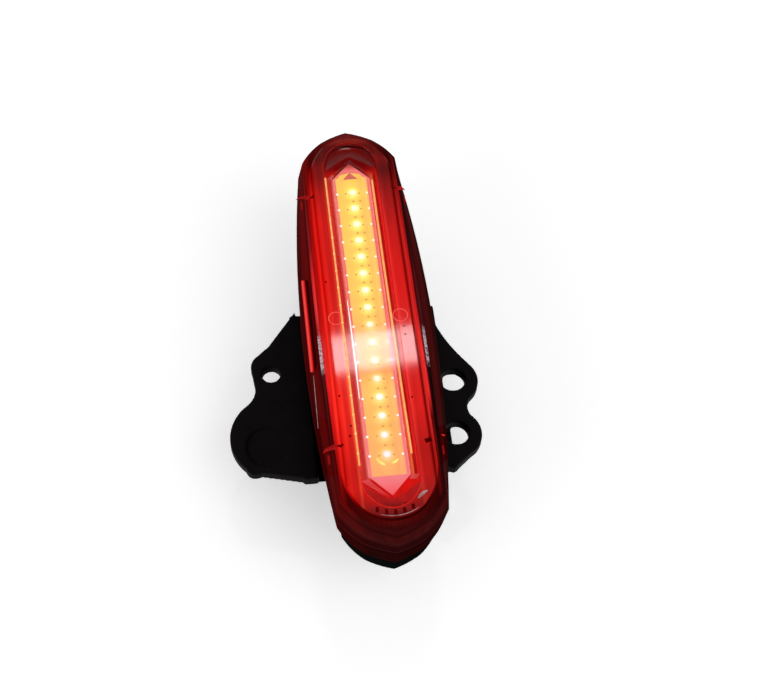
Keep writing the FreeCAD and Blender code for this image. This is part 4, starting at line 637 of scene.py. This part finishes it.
def panel_ends(tree, place):
    """How the panel's light falls off to its ends, on the left and on the right."""
    along = along_of(tree, place)
    left = profile(
        tree, along, -NOSE, NOSE,
        [
            (-38.0, (0.10, 0.3, 0.3)),
            (-35.4, (0.34, 0.5, 0.5)),
            (-34.4, (0.36, 0.6, 0.6)),
            (-32.6, (0.68, 0.5, 0.5)),
            (-31.0, (0.92, 0.9, 0.9)),
            (-28.0, (0.84, 0.9, 0.9)),
            (-24.0, (1.0, 1.3, 1.3)),
            (-18.0, (1.28, 2.6, 2.4)),
            (-11.0, (1.20, 2.6, 2.4)),
            (-2.0, (1.05, 1.8, 1.8)),
            (6.0, (0.98, 1, 1)),
            (18.0, (0.88, 0.9, 0.9)),
            (24.0, (0.60, 0.7, 0.7)),
            (27.0, (0.34, 0.20, 0.20)),
            (29.6, (0.26, 0.14, 0.14)),
            (31.0, (0.14, 0.06, 0.06)),
            (33.0, (0.12, 0.05, 0.05)),
        ],
    )
    right = profile(
        tree, along, -NOSE, NOSE,
        [
            (-38.0, (0.10, 0.3, 0.3)),
            (-35.4, (0.28, 0.5, 0.5)),
            (-34.0, (0.36, 0.5, 0.5)),
            (-31.6, (0.58, 1, 1)),
            (-29.0, (0.72, 0.8, 0.8)),
            (-25.0, (0.66, 0.7, 0.7)),
            (-18.0, (1.02, 1.5, 1.5)),
            (-2.0, (1.04, 1.5, 1.5)),
            (6.0, (1.0, 1, 1)),
            (16.0, (0.84, 1, 1)),
            (24.0, (0.42, 0.5, 0.5)),
            (28.0, (0.16, 0.10, 0.10)),
            (30.5, (0.24, 0.14, 0.14)),
            (32.0, (0.14, 0.08, 0.08)),
        ],
    )
    return blend(tree, above(tree, across_of(tree, place), -0.5, 1.0), left, right)


def lens_panel_side(tree, place):
    across = across_of(tree, place)
    tone = profile(
        tree, across, -7.6, 7.6,
        [
            (-7.4, (0.70, 0.006, 0.005)),
            (-7.2, (0.60, 0.005, 0.004)),
            (-5.0, (0.16, 0.001, 0.001)),
            (5.0, (0.10, 0.001, 0.001)),
            (7.2, (0.84, 0.016, 0.016)),
            (7.4, (0.78, 0.014, 0.014)),
        ],
    )
    tone = streaked(tree, place, tone, 1200.0, 0.1, 0.7, 1.3)
    right = above(tree, across, 3.0, 1.0)
    tone = blend(tree, right, tone, tinted(tree, tone, right_side_ends(tree, place)))
    return tinted(tree, tone, panel_ends(tree, place))


def lens_panel(tree, place):
    """Lit panel with its dark joints, and its dark round ends."""
    along = along_of(tree, place)
    tone = profile(
        tree, across_of(tree, place), -8.0, 8.0,
        [
            (-7.5, (0.62, 0.006, 0.005)),
            (-7.25, (0.72, 0.008, 0.006)),
            (-6.95, (0.84, 0.012, 0.008)),
            (-6.70, (0.44, 0.002, 0.001)),
            (-6.45, (0.62, 0.005, 0.003)),
            (-5.9, (0.74, 0.008, 0.004)),
            (-5.55, (0.56, 0.004, 0.002)),
            (-4.95, (0.62, 0.006, 0.004)),
            (-4.6, (0.80, 0.05, 0.02)),
            (-4.25, (0.66, 0.006, 0.004)),
            (4.1, (0.66, 0.006, 0.004)),
            (4.45, (0.80, 0.02, 0.015)),
            (4.8, (0.70, 0.008, 0.006)),
            (5.2, (0.60, 0.004, 0.003)),
            (6.1, (0.62, 0.006, 0.004)),
            (6.42, (0.36, 0.001, 0.001)),
            (6.62, (0.12, 0.0, 0.0)),
            (6.85, (0.50, 0.012, 0.010)),
            (7.1, (0.60, 0.012, 0.010)),
            (7.4, (0.68, 0.016, 0.014)),
        ],
    )
    tone = streaked(tree, place, tone, 1300.0, 0.05, 0.80, 1.55)
    nose = profile(
        tree, along, -NOSE, NOSE,
        [
            (-37.0, (0.035, 0.001, 0.001)),
            (-36.0, (0.10, 0.002, 0.003)),
            (-35.2, (0.15, 0.003, 0.003)),
            (-34.3, (0.26, 0.005, 0.005)),
            (34.0, (0.17, 0.004, 0.001)),
            (34.8, (0.22, 0.011, 0.006)),
            (35.3, (0.20, 0.012, 0.007)),
            (36.0, (0.046, 0.008, 0.0075)),
        ],
    )
    nose = streaked(tree, place, nose, 900.0, 0.6, 0.6, 1.5)
    return blend(tree, outside(tree, along, 33.7, 0.5), tinted(tree, tone, panel_ends(tree, place)), nose)


def lens_tone(tree, place):
    """Red shell, its glow painted on: dark sloping walls, bright broken edges with painted highlights, lit
    panel with dark joints.
    """
    height = height_of(tree, place)
    tone = lens_wall(tree, place)
    tone = blend(tree, above(tree, height, RIM_BREAK - 0.03, 0.06), tone, lens_rim_edge(tree, place))
    tone = blend(tree, above(tree, height, RIM - 0.02, 0.01), tone, lens_ledge(tree, place))
    tone = blend(tree, above(tree, height, RIM + 0.02, 0.02), tone, lens_panel_side(tree, place))
    return blend(tree, above(tree, height, PANEL_BREAK - 0.05, 0.1), tone, lens_panel(tree, place))


# Materials
def lens_material(name):
    """Red see-through shell: a lit body over a tinted see-through share, under a polished face."""
    mat, tree = new_material(name)
    place = coords(tree)
    tone = lens_tone(tree, place)
    broad = noise(tree, place, 260.0, 4.0)
    fine = noise(tree, place, 3200.0, 2.0)
    normal = bump(tree, fine, 0.2, 0.00001)
    body = principled(tree, scaled(tree, tone, 0.15), spread(tree, broad, 0.35, 0.5), normal, specular=0.0)
    link(tree, tone, body.inputs["Emission Color"])
    body.inputs["Emission Strength"].default_value = 0.9
    clear = clear_shader(tree, ramp(tree, broad, [(0.3, (0.85, 0.05, 0.04)), (0.75, (0.95, 0.08, 0.06))]))
    top = above(tree, height_of(tree, place), PANEL_BREAK, 0.3)
    inner = mixed(tree, spread(tree, top, 0.98, 0.86), clear, body.outputs[0])
    flat = calc(tree, "SUBTRACT", 1.0, outside(tree, across_of(tree, place), 6.3, 0.2))
    gloss = spread(tree, calc(tree, "MULTIPLY", top, flat), 0.01, 0.18)
    output(tree, polished(tree, inner, gloss, broad, fine))
    MATS[name] = mat


def window_material(name):
    """Clear window with a polished face."""
    mat, tree = new_material(name)
    place = coords(tree)
    broad = noise(tree, place, 260.0, 4.0)
    fine = noise(tree, place, 3200.0, 2.0)
    clear = clear_shader(tree, ramp(tree, broad, [(0.3, (1.0, 0.97, 0.96)), (0.75, (1.0, 0.99, 0.98))]))
    outer = outside(tree, across_of(tree, place), STRIP_HALF, 0.3)
    output(tree, polished(tree, clear, spread(tree, outer, 0.08, 0.13), broad, fine))
    MATS[name] = mat


lens_material("lens_red")
window_material("window_clear")
lit_material("tray_red", tray_tone)
lit_material("board_white", board_tone, glow=0.85)
lit_material("glow_coat", strip_tone, base=0.10, glow=0.97, uneven=(0.95, 1.05))
lit_material("lamp_white", strip_tone, base=0.10, glow=0.97, uneven=(0.95, 1.05))
lit_material("housing_black", housing_tone, base=0.5, glow=0.8, rough=(0.45, 0.6))
lit_material("button_red", button_tone)
lit_material("film_red", film_tone)
solid_material("seal_rubber", (0.012, 0.011, 0.011), (0.02, 0.018, 0.018), (0.6, 0.8))
solid_material(
    "cover_rubber", (0.002, 0.0016, 0.0016), (0.005, 0.0045, 0.0045), (0.55, 0.75), specular=0.05
)
solid_material(
    "saddle_rubber", (0.0016, 0.0010, 0.0012), (0.0042, 0.0030, 0.0034), (0.45, 0.7), 1400, 0.00005,
    wear=(0.007, 0.0055, 0.006), specular=0.03,
)
solid_material("foam_grey", (0.12, 0.12, 0.12), (0.24, 0.24, 0.24), (0.8, 0.95), 900, 0.0001)
solid_material("clip_black", (0.003, 0.0025, 0.0025), (0.007, 0.006, 0.006), (0.38, 0.55), specular=0.08)
solid_material("latch_black", (0.004, 0.0035, 0.0035), (0.008, 0.007, 0.007), (0.35, 0.5), specular=0.1)
solid_material("switch_black", (0.02, 0.02, 0.02), (0.035, 0.035, 0.035))
solid_material("tongue_black", (0.015, 0.015, 0.015), (0.03, 0.03, 0.03))
solid_material("chip_black", (0.015, 0.015, 0.016), (0.03, 0.03, 0.03), (0.5, 0.7))
solid_material("coil_dark", (0.04, 0.04, 0.045), (0.09, 0.09, 0.1), (0.5, 0.7), 900)
solid_material("capacitor_tan", (0.38, 0.24, 0.12), (0.5, 0.34, 0.18))
solid_material("charge_lamp", (0.3, 0.6, 0.3), (0.4, 0.8, 0.4), (0.2, 0.4))
solid_material("plunger_white", (0.7, 0.7, 0.67), (0.85, 0.85, 0.82))
solid_material("board_green", (0.01, 0.10, 0.04), (0.02, 0.17, 0.07), (0.3, 0.5), 1500)
solid_material("wire_red", (0.4, 0.02, 0.02), (0.55, 0.03, 0.03))
solid_material("wire_black", (0.015, 0.015, 0.015), (0.03, 0.03, 0.03))
solid_material("pin_steel", (0.5, 0.5, 0.51), (0.65, 0.65, 0.66), (0.18, 0.3), metallic=1.0)
solid_material("screw_steel", (0.2, 0.2, 0.21), (0.34, 0.34, 0.35), (0.22, 0.4), metallic=1.0)
solid_material("socket_steel", (0.55, 0.55, 0.57), (0.72, 0.72, 0.74), (0.2, 0.35), metallic=1.0)
solid_material("cell_silver", (0.55, 0.55, 0.57), (0.75, 0.75, 0.77), (0.25, 0.45), 700, metallic=0.9)
solid_material(
    "core_steel", (0.42, 0.42, 0.43), (0.58, 0.58, 0.6), (0.3, 0.5), metallic=1.0, wear=(0.25, 0.2, 0.16)
)
GLINT_WHITE = mark_material("glint_white", (1.0, 0.95, 0.93), (1.1, 1.08, 1.05), base=0.3, glow=1.0)
GLINT_GREY = mark_material("glint_grey", (0.24, 0.10, 0.10), (0.50, 0.34, 0.34), glow=0.8)
LINE_ORANGE = mark_material("line_orange", (0.93, 0.33, 0.10), (0.98, 0.48, 0.17), glow=0.95)
LINE_YELLOW = mark_material("line_yellow", (1.0, 0.70, 0.12), (1.0, 0.86, 0.30), glow=1.0)
LINE_PINK = mark_material("line_pink", (0.90, 0.15, 0.13), (0.97, 0.30, 0.26))
LINE_RED = mark_material("line_red", (0.62, 0.010, 0.008), (0.80, 0.03, 0.02))
RING_RED = mark_material("ring_red", (0.84, 0.07, 0.06), (0.92, 0.15, 0.14))
CATCH_RED = mark_material("catch_red", (0.20, 0.004, 0.004), (0.42, 0.012, 0.012))
ARROW_PINK = mark_material("arrow_pink", (0.62, 0.12, 0.08), (0.78, 0.19, 0.13), 0.15, 0.87)
MARK_BROWN = mark_material("mark_brown", (0.78, 0.34, 0.08), (0.88, 0.44, 0.10), 0.15, 0.87)
MARK_DARK = mark_material("mark_dark", (0.060, 0.0, 0.0), (0.13, 0.002, 0.002), glow=0.8)

slot_of = {piece["node"]: piece["material_slot"] for piece in frame["record"]["subparts"]}
for name, obj in nodes.items():
    mat = MATS[slot_of[name]]
    if len(obj.material_slots) == 0:
        obj.data.materials.append(mat)
    for slot in obj.material_slots:
        slot.material = mat


# Small builders. Points are (across, along, height) in mm.
def add_object(name, mesh, body, mat):
    obj = bpy.data.objects.new(name, mesh)
    bpy.context.scene.collection.objects.link(obj)
    obj.data.materials.append(mat)
    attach(obj, body)


def finish_mesh(name, bm, mat):
    """Turns the faces outward and puts the mesh on the light."""
    bmesh.ops.recalc_face_normals(bm, faces=bm.faces)
    for face in bm.faces:
        face.smooth = True
    mesh = bpy.data.meshes.new(name)
    bm.to_mesh(mesh)
    bm.free()
    add_object(name, mesh, "light", mat)


def spot_at(point):
    return Vector(((point[0] + CENTRE) * MM, point[1] * MM, point[2] * MM))


def at_height(points, height):
    return [(x, y, height) for x, y in points]


def join_loops(bm, one, two):
    """A band of faces between two rings of points."""
    count = len(one)
    for step in range(count):
        bm.faces.new((one[step], one[(step + 1) % count], two[(step + 1) % count], two[step]))


def bead(name, points, wide, tall, mat, closed=False, taper=False, sides=8):
    """A thin bead along a path, oval in section; with taper it thins out to its ends."""
    bm = bmesh.new()
    spots = [spot_at(point) for point in points]
    total = len(spots)
    loops = []
    for number, spot in enumerate(spots):
        before = spots[(number - 1) % total] if closed or number else spot
        after = spots[(number + 1) % total] if closed or number < total - 1 else spot
        way = (after - before).normalized()
        out = way.cross(Vector((0, 0, 1))).normalized()
        size = math.sin(math.pi * (number + 0.25) / (total - 0.5)) ** 0.5 if taper else 1.0
        loop = []
        for step in range(sides):
            turn = 2 * math.pi * step / sides
            shift = out * math.cos(turn) * wide * size * MM
            loop.append(bm.verts.new(spot + shift + Vector((0, 0, math.sin(turn) * tall * size * MM))))
        loops.append(loop)
    for one, two in zip(loops, loops[1:]):
        join_loops(bm, one, two)
    if closed:
        join_loops(bm, loops[-1], loops[0])
    else:
        bm.faces.new(list(reversed(loops[0])))
        bm.faces.new(loops[-1])
    finish_mesh(name, bm, mat)


def domes(name, points, radius, tall, mat, sides=12):
    """Low round caps, one at each point, as one mesh."""
    bm = bmesh.new()
    turns = [2 * math.pi * step / sides for step in range(sides)]
    for point in points:
        middle = spot_at(point)
        loops = []
        for lean in (0, 28, 52, 72):
            out = radius * math.cos(math.radians(lean)) * MM
            up = tall * math.sin(math.radians(lean)) * MM
            circle = [Vector((math.cos(turn) * out, math.sin(turn) * out, up)) for turn in turns]
            loops.append([bm.verts.new(middle + shift) for shift in circle])
        for one, two in zip(loops, loops[1:]):
            join_loops(bm, one, two)
        bm.faces.new(loops[-1])
        bm.faces.new(list(reversed(loops[0])))
    finish_mesh(name, bm, mat)


def plate(name, outline, low, high, mat, edge=0.03):
    """A thin flat piece with broken edges."""
    bm = bmesh.new()
    face = bm.faces.new([bm.verts.new(spot_at((x, y, low))) for x, y in outline])
    grown = bmesh.ops.extrude_face_region(bm, geom=[face])
    for vert in [item for item in grown["geom"] if isinstance(item, bmesh.types.BMVert)]:
        vert.co.z = high * MM
    bmesh.ops.recalc_face_normals(bm, faces=bm.faces)
    bmesh.ops.bevel(bm, geom=list(bm.edges), offset=edge * MM, segments=2, affect="EDGES")
    finish_mesh(name, bm, mat)


def arc(start, end, bulge, count):
    """Points of an arc that stands out to the right of the way from start to end."""
    chord = math.dist(start, end)
    radius = (chord * chord / 4 + bulge * bulge) / (2 * bulge)
    way = ((end[0] - start[0]) / chord, (end[1] - start[1]) / chord)
    out = (way[1], -way[0])
    middle = [(start[side] + end[side]) / 2 - out[side] * (radius - bulge) for side in (0, 1)]
    half = math.asin(chord / 2 / radius)
    points = []
    for step in range(count):
        turn = half * (2 * step / count - 1)
        ahead = [out[side] * math.cos(turn) + way[side] * math.sin(turn) for side in (0, 1)]
        points.append((middle[0] + radius * ahead[0], middle[1] + radius * ahead[1]))
    return points


def round_end(half, corner, nose):
    """The near end of a long ring, from its left side round to its right side."""
    shoulder = half * SHOULDER_SHARE
    swell = shoulder * END_SWELL
    side = (half - shoulder) * SIDE_SWELL
    low = nose - swell
    points = arc((-half, -corner), (-shoulder, -low), side, 6)
    points += arc((-shoulder, -low), (shoulder, -low), swell, 12)
    points += arc((shoulder, -low), (half, -corner), side, 6)
    return points + [(half, -corner)]


def circle_at(middle, radius, height, count=28):
    turns = [2 * math.pi * step / count for step in range(count)]
    return [(middle[0] + radius * math.cos(t), middle[1] + radius * math.sin(t), height) for t in turns]


# Marks on the glowing coat
def make_edge_dots():
    for side, across, radius in (("left", -2.62, 0.20), ("right", 2.40, 0.18)):
        dots = [(across, y, STRIP) for y in LAMP_ROWS]
        domes("edge_dots_" + side, dots, radius, 0.14, GLINT_WHITE)


def make_solder_pads():
    pads = []
    for y in LAMP_ROWS:
        pads += [(-1.15, y, STRIP), (1.05, y, STRIP)]
    for y in LAMP_ROWS[1:]:
        pads += [(-0.05, y - LAMP_PITCH / 2, STRIP), (1.10, y - LAMP_PITCH / 2, STRIP)]
    domes("solder_pads", pads, 0.19, 0.05, MARK_BROWN)


def make_strip_near_end():
    """A yellow chevron round the first lamp and a line along the coat's end."""
    level = STRIP + 0.04
    left = [(-1.65, -25.0), (-1.25, -25.55), (-0.85, -25.95), (-0.45, -26.2)]
    right = [(1.65, -25.3), (1.35, -25.6), (1.0, -25.85), (0.6, -26.0)]
    bead("chevron_left", at_height(left, level), 0.22, 0.06, LINE_YELLOW, taper=True)
    bead("chevron_right", at_height(right, level), 0.20, 0.06, LINE_YELLOW, taper=True)
    end = [(-2.45, STRIP_NEAR + 0.35), (0.0, STRIP_NEAR + 0.2), (2.45, STRIP_NEAR + 0.35)]
    bead("strip_end_line", at_height(end, STRIP + 0.01), 0.12, 0.04, LINE_ORANGE)


def make_strip_far_end():
    """A pink arrow past the last lamp, between two corners of the coat."""
    arrow = [(-1.35, 27.95), (1.15, 27.95), (-0.1, 29.35)]
    plate("far_arrow", arrow, STRIP, STRIP + 0.06, ARROW_PINK)
    left = [(-2.45, 28.0), (-1.4, 28.0), (-0.2, 29.35), (-1.75, 29.0)]
    right = [(2.3, 28.0), (1.2, 28.0), (0.0, 29.35), (1.6, 29.0)]
    for side, corner in (("left", left), ("right", right)):
        plate("far_corner_" + side, corner, STRIP - 0.06, STRIP, MATS["glow_coat"], 0.01)


# Lines of light on the window and in its well
def make_glow_lines():
    level = WINDOW - 0.06
    left = at_height([(-4.43, 27), (-4.42, 10), (-4.42, -14), (-4.43, -27)], level)
    bead("glow_line_left", left, 0.14, 0.05, LINE_ORANGE)
    right = at_height([(3.45, 27), (3.42, 10), (3.5, -10), (3.62, -25)], TRAY + 0.05)
    bead("glow_line_right", right, 0.16, 0.05, LINE_ORANGE)
    dots = [(-4.43, y - 0.4, level) for y in LAMP_ROWS[:13]]
    domes("glow_line_dots", dots, 0.19, 0.05, LINE_YELLOW)


def make_well_lines():
    left = at_height([(-3.02, 27.5), (-2.98, 0), (-3.02, -27.5)], TRAY + 0.03)
    bead("well_line_left", left, 0.10, 0.05, LINE_PINK)
    glint = at_height([(-3.14, 3), (-3.10, -4), (-3.10, -9), (-3.14, -15)], TRAY + 0.07)
    bead("well_glint_left", glint, 0.10, 0.05, GLINT_WHITE, taper=True)
    right = at_height([(2.98, 27.5), (2.96, 0), (2.98, -27.5)], TRAY + 0.03)
    bead("well_line_right", right, 0.10, 0.05, LINE_PINK)


# Light caught on rims and edges
def make_near_arcs():
    """Along the near ends of the window and of the panel."""
    rim = at_height(round_end(4.45, 29.2, 34.2), WINDOW - 0.05)
    bead("window_rim_near", rim, 0.07, 0.04, LINE_RED)
    bead("window_arc_near", rim[9:22], 0.055, 0.04, GLINT_GREY, taper=True)
    panel = at_height(round_end(6.95, 26.5, 35.45), PANEL - 0.02)
    bead("panel_arc_near", panel[9:18], 0.06, 0.04, GLINT_GREY, taper=True)


def make_far_arcs():
    """Along the window's far end, and a painted dark V of shade on the film under it."""
    rim = [(x, -y, WINDOW - 0.05) for x, y in round_end(4.45, 29.2, 34.2)]
    bead("window_rim_far", rim, 0.06, 0.04, CATCH_RED)
    arc_far = at_height([(-1.5, 32.7), (-0.9, 32.95), (-0.2, 32.98), (0.4, 32.75)], WINDOW - 0.04)
    bead("window_arc_far", arc_far, 0.10, 0.03, GLINT_GREY, taper=True)
    # Painted shade: a dark V line on the film under the window's far end.
    shade_v = at_height([(-3.6, 31.1), (0.2, 33.6), (3.45, 30.6)], FILM + 0.01)
    bead("film_shade_far", shade_v, 0.20, 0.03, MARK_DARK)


def make_lens_glints():
    """A line on the left wall and a fleck at the panel's near end."""
    wall_line = [(-9.60, -8.8, 22.48), (-9.66, -13.0, 22.34), (-9.72, -18.0, 22.18)]
    bead("wall_line_left", wall_line, 0.05, 0.04, GLINT_GREY, taper=True)
    fleck = at_height([(3.5, -33.0), (3.9, -32.6), (4.4, -32.2), (5.0, -31.9)], PANEL - 0.01)
    bead("fleck_near", fleck, 0.28, 0.03, GLINT_GREY, taper=True)


def make_end_films():
    """Dark red film under each end of the window, past the lamps' board, carrying painted glow near the
    lamps and painted shade beyond.
    """
    for name, side in (("near", -1), ("far", 1)):
        edge = [(x, -y * side) for x, y in round_end(4.8, 28.9, 34.6)]
        tip = [(4.8, 28.9 * side), (2.4, 30.5 * side), (0.0, 31.95 * side), (-2.4, 30.5 * side)]
        plate("end_film_" + name, edge[:-1] + tip, FILM - 0.1, FILM, MATS["film_red"], 0.01)


# What shows through the red panel
def make_boss_rings():
    for name, middle in (("left", (-5.35, -0.9)), ("right", (4.75, -1.2))):
        loop = circle_at(middle, 1.15, PANEL)
        bead("boss_ring_" + name, loop, 0.07, 0.02, RING_RED, closed=True)


def make_pin_marks():
    pins = [(-6.3, 6.1), (-6.2, -14.9), (-5.0, -20.2), (-5.3, -21.9)]
    pins += [(5.1, -3.3), (5.1, -4.8), (4.75, -16.1)]
    domes("pin_marks", at_height(pins, PANEL), 0.17, 0.02, MARK_DARK)


def make_catch(name, side, foot, over_rim, up_panel, end):
    """A catch that shows from the wall over the rim, and its shade on the panel's side."""
    rim = [(side * half, y, height) for (half, height), y in zip(RIM_CORNERS, over_rim)]
    bead("catch_" + name, [foot] + rim, 0.42, 0.10, CATCH_RED)
    shade = [(side * half, y, height) for (half, height), y in zip(PANEL_CORNERS, up_panel)]
    bead("catch_shade_" + name, shade + [end], 0.36, 0.03, MARK_DARK)


def make_catches():
    foot = (-9.29, -22.36, 22.88)
    make_catch("near_left", -1, foot, (-22.8, -22.9, -22.9), (-22.95, -23.3), (-6.6, -23.5, PANEL))
    foot = (-9.24, 25.61, 22.97)
    make_catch("far_left", -1, foot, (24.7, 24.2, 23.9), (23.6, 23.4), (-6.6, 23.4, PANEL))
    foot = (8.71, 25.25, 24.08)
    make_catch("far_right", 1, foot, (25.1, 24.85, 24.7), (24.4, 24.2), (6.4, 24.1, PANEL))
    shade = at_height([(5.7, -23.8), (6.75, -23.5)], PANEL)
    bead("catch_shade_near_right", shade, 0.36, 0.03, MARK_DARK)
    bar = [(8.75, -21.9, 24.0), (9.14, -21.5, 23.2)]
    bead("catch_near_right", bar, 0.22, 0.10, LINE_RED)


def make_end_ribs(count=5, pitch=1.3):
    """Short dark ribs across the panel's near end, which follow its curve."""
    for number in range(count):
        x = (number - (count - 1) / 2) * pitch
        curve = 0.09 * x * x
        rib = [(x, curve - 34.45), (x * 1.03, curve - 35.25)]
        bead("end_rib_" + str(number + 1), at_height(rib, PANEL), 0.24, 0.03, MARK_DARK)


# Rubber pieces
def rounded_copy(name, node, voxel, body, passes, shape=None):
    """Moulded rubber: the solid's own form with its edges rounded off."""
    source = nodes[node]
    mesh = source.data.copy()
    mesh.transform(source.matrix_world)
    mesh.materials.clear()
    obj = bpy.data.objects.new(name, mesh)
    bpy.context.scene.collection.objects.link(obj)
    grid = obj.modifiers.new("grid", "REMESH")
    grid.mode = "VOXEL"
    grid.voxel_size = voxel * MM
    grid.use_smooth_shade = True
    soften = obj.modifiers.new("soften", "SMOOTH")
    soften.factor = 0.5
    soften.iterations = passes
    bpy.context.view_layer.update()
    made = bpy.data.meshes.new_from_object(obj.evaluated_get(bpy.context.evaluated_depsgraph_get()))
    obj.modifiers.clear()
    obj.data = made
    if shape:
        for vert in made.vertices:
            vert.co = shape(vert.co / MM) * MM
    made.materials.clear()
    made.materials.append(MATS[slot_of[node]])
    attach(obj, body)
    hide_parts(node)


def hollow(point, middle, reach, depth):
    """How far a round dish sinks a point of the top."""
    off = math.hypot((point.x - middle[0]) / reach[0], (point.y - middle[1]) / reach[1])
    if off >= 1.0:
        return 0.0
    return depth * (0.5 + 0.5 * math.cos(math.pi * off))


def shape_saddle(point):
    """Wings thin out to their edges, and the tab has a thumb hollow with a soft rim."""
    ears_mid = 11.2
    top = max(0.0, min(1.0, point.z - ears_mid))
    sink = hollow(point, (CENTRE - 18.2, -15.2), (4.2, 5.4), 0.55)
    edge = max(0.0, abs(point.x - CENTRE) - 12.5)
    return Vector((point.x, point.y, point.z - top * (sink + 0.02 * edge)))


make_edge_dots()
make_solder_pads()
make_strip_near_end()
make_strip_far_end()
make_glow_lines()
make_well_lines()
make_near_arcs()
make_far_arcs()
make_lens_glints()
make_end_films()
make_boss_rings()
make_pin_marks()
make_catches()
make_end_ribs()
rounded_copy("saddle_rubber_skin", "saddle_pad", 0.22, "bracket", 4, shape_saddle)
rounded_copy("usb_cover_skin", "usb_cover", 0.08, "port_cover", 3)


# The stage
FLOOR_REACH = 3.0
FLOOR_DROP = 0.00002
STUDIO_LEVEL = 0.45


def seen_directly(tree):
    """1 where the camera sees a surface itself, in a mirror or through something clear."""
    path = tree.nodes.new("ShaderNodeLightPath")
    seen = calc(tree, "MAXIMUM", path.outputs["Is Camera Ray"], path.outputs["Is Glossy Ray"])
    return calc(tree, "MAXIMUM", seen, path.outputs["Is Transmission Ray"])


def make_floor():
    """Matt white, with a glow that lifts it to plain white where it is seen and keeps the shadow."""
    mat, tree = new_material("floor_white")
    paper = tree.nodes.new("ShaderNodeBsdfDiffuse")
    paper.inputs["Color"].default_value = (0.86, 0.86, 0.86, 1)
    bright = tree.nodes.new("ShaderNodeEmission")
    bright.inputs["Color"].default_value = (1, 1, 1, 1)
    link(tree, calc(tree, "MULTIPLY", seen_directly(tree), STUDIO_LEVEL), bright.inputs["Strength"])
    add = tree.nodes.new("ShaderNodeAddShader")
    link(tree, paper.outputs[0], add.inputs[0])
    link(tree, bright.outputs[0], add.inputs[1])
    output(tree, add.outputs[0])
    mesh = bpy.data.meshes.new("floor")
    bm = bmesh.new()
    corners = [(-FLOOR_REACH, -FLOOR_REACH), (FLOOR_REACH, -FLOOR_REACH)]
    corners += [(FLOOR_REACH, FLOOR_REACH), (-FLOOR_REACH, FLOOR_REACH)]
    bm.faces.new([bm.verts.new((x, y, -FLOOR_DROP)) for x, y in corners])
    bm.to_mesh(mesh)
    bm.free()
    floor = bpy.data.objects.new("floor", mesh)
    floor.data.materials.append(mat)
    bpy.context.scene.collection.objects.link(floor)


def make_world():
    """White where it is seen, dimmer as light."""
    world = bpy.data.worlds.new("studio")
    bpy.context.scene.world = world
    world.use_nodes = True
    tree = world.node_tree
    tree.nodes.clear()
    back = tree.nodes.new("ShaderNodeBackground")
    back.inputs["Color"].default_value = (1, 1, 1, 1)
    link(tree, calc(tree, "MAXIMUM", seen_directly(tree), STUDIO_LEVEL), back.inputs["Strength"])
    out = tree.nodes.new("ShaderNodeOutputWorld")
    link(tree, back.outputs[0], out.inputs["Surface"])


def area_light(name, spot, target, size, power, roll=0.0):
    light = bpy.data.lights.new(name, "AREA")
    light.shape = "RECTANGLE"
    light.size, light.size_y = size
    light.energy = power
    obj = bpy.data.objects.new(name, light)
    obj.location = spot
    aim = (Vector(target) - Vector(spot)).normalized()
    facing = aim.to_track_quat("-Z", "Y") @ Quaternion((0, 0, 1), roll)
    obj.rotation_euler = facing.to_euler()
    bpy.context.scene.collection.objects.link(obj)


def make_lights(eye):
    """Two soft lights, and a far softbox that the panel mirrors to the camera as a pale patch."""
    patch = Vector((CENTRE - 0.3, -7.2, PANEL)) * MM
    ray = (patch - eye).normalized()
    bounce = Vector((ray.x, ray.y, -ray.z))
    area_light("softbox_far", patch + bounce * 2.0, patch, (0.150, 0.056), 1.6, 0.2)
    area_light("softbox_top", (0.5, -0.5, 0.9), (0, 0, 0), (0.8, 0.8), 3.0)
    area_light("softbox_left", (-0.8, -0.5, 0.5), (0, 0, 0.01), (0.5, 0.5), 1.6)


# The camera, as fitted to the photograph: its place in mm, its right and back, its reach in pixels
EYE = Vector((-15.56, -121.72, 212.37)) * MM
EYE_RIGHT = Vector((0.993, -0.1134, 0.0322))
EYE_BACK = Vector((-0.0871, -0.5215, 0.8488))
FOCAL_PIXELS = 1420.35
PHOTO_PIXELS = 758.0
SENSOR = 36.0


def make_camera():
    cam = bpy.data.cameras.new("camera")
    cam.sensor_width = SENSOR
    cam.sensor_fit = "HORIZONTAL"
    cam.lens = FOCAL_PIXELS * SENSOR / PHOTO_PIXELS
    cam.clip_start = 0.01
    camera = bpy.data.objects.new("camera", cam)
    right = EYE_RIGHT.normalized()
    back = EYE_BACK.normalized()
    up = back.cross(right).normalized()
    right = up.cross(back).normalized()
    turn = Matrix((right, up, back)).transposed()
    camera.matrix_world = Matrix.Translation(EYE) @ turn.to_4x4()
    bpy.context.scene.collection.objects.link(camera)
    bpy.context.scene.camera = camera


make_floor()
make_world()
make_lights(EYE)
make_camera()
bpy.context.scene.view_settings.view_transform = "Standard"
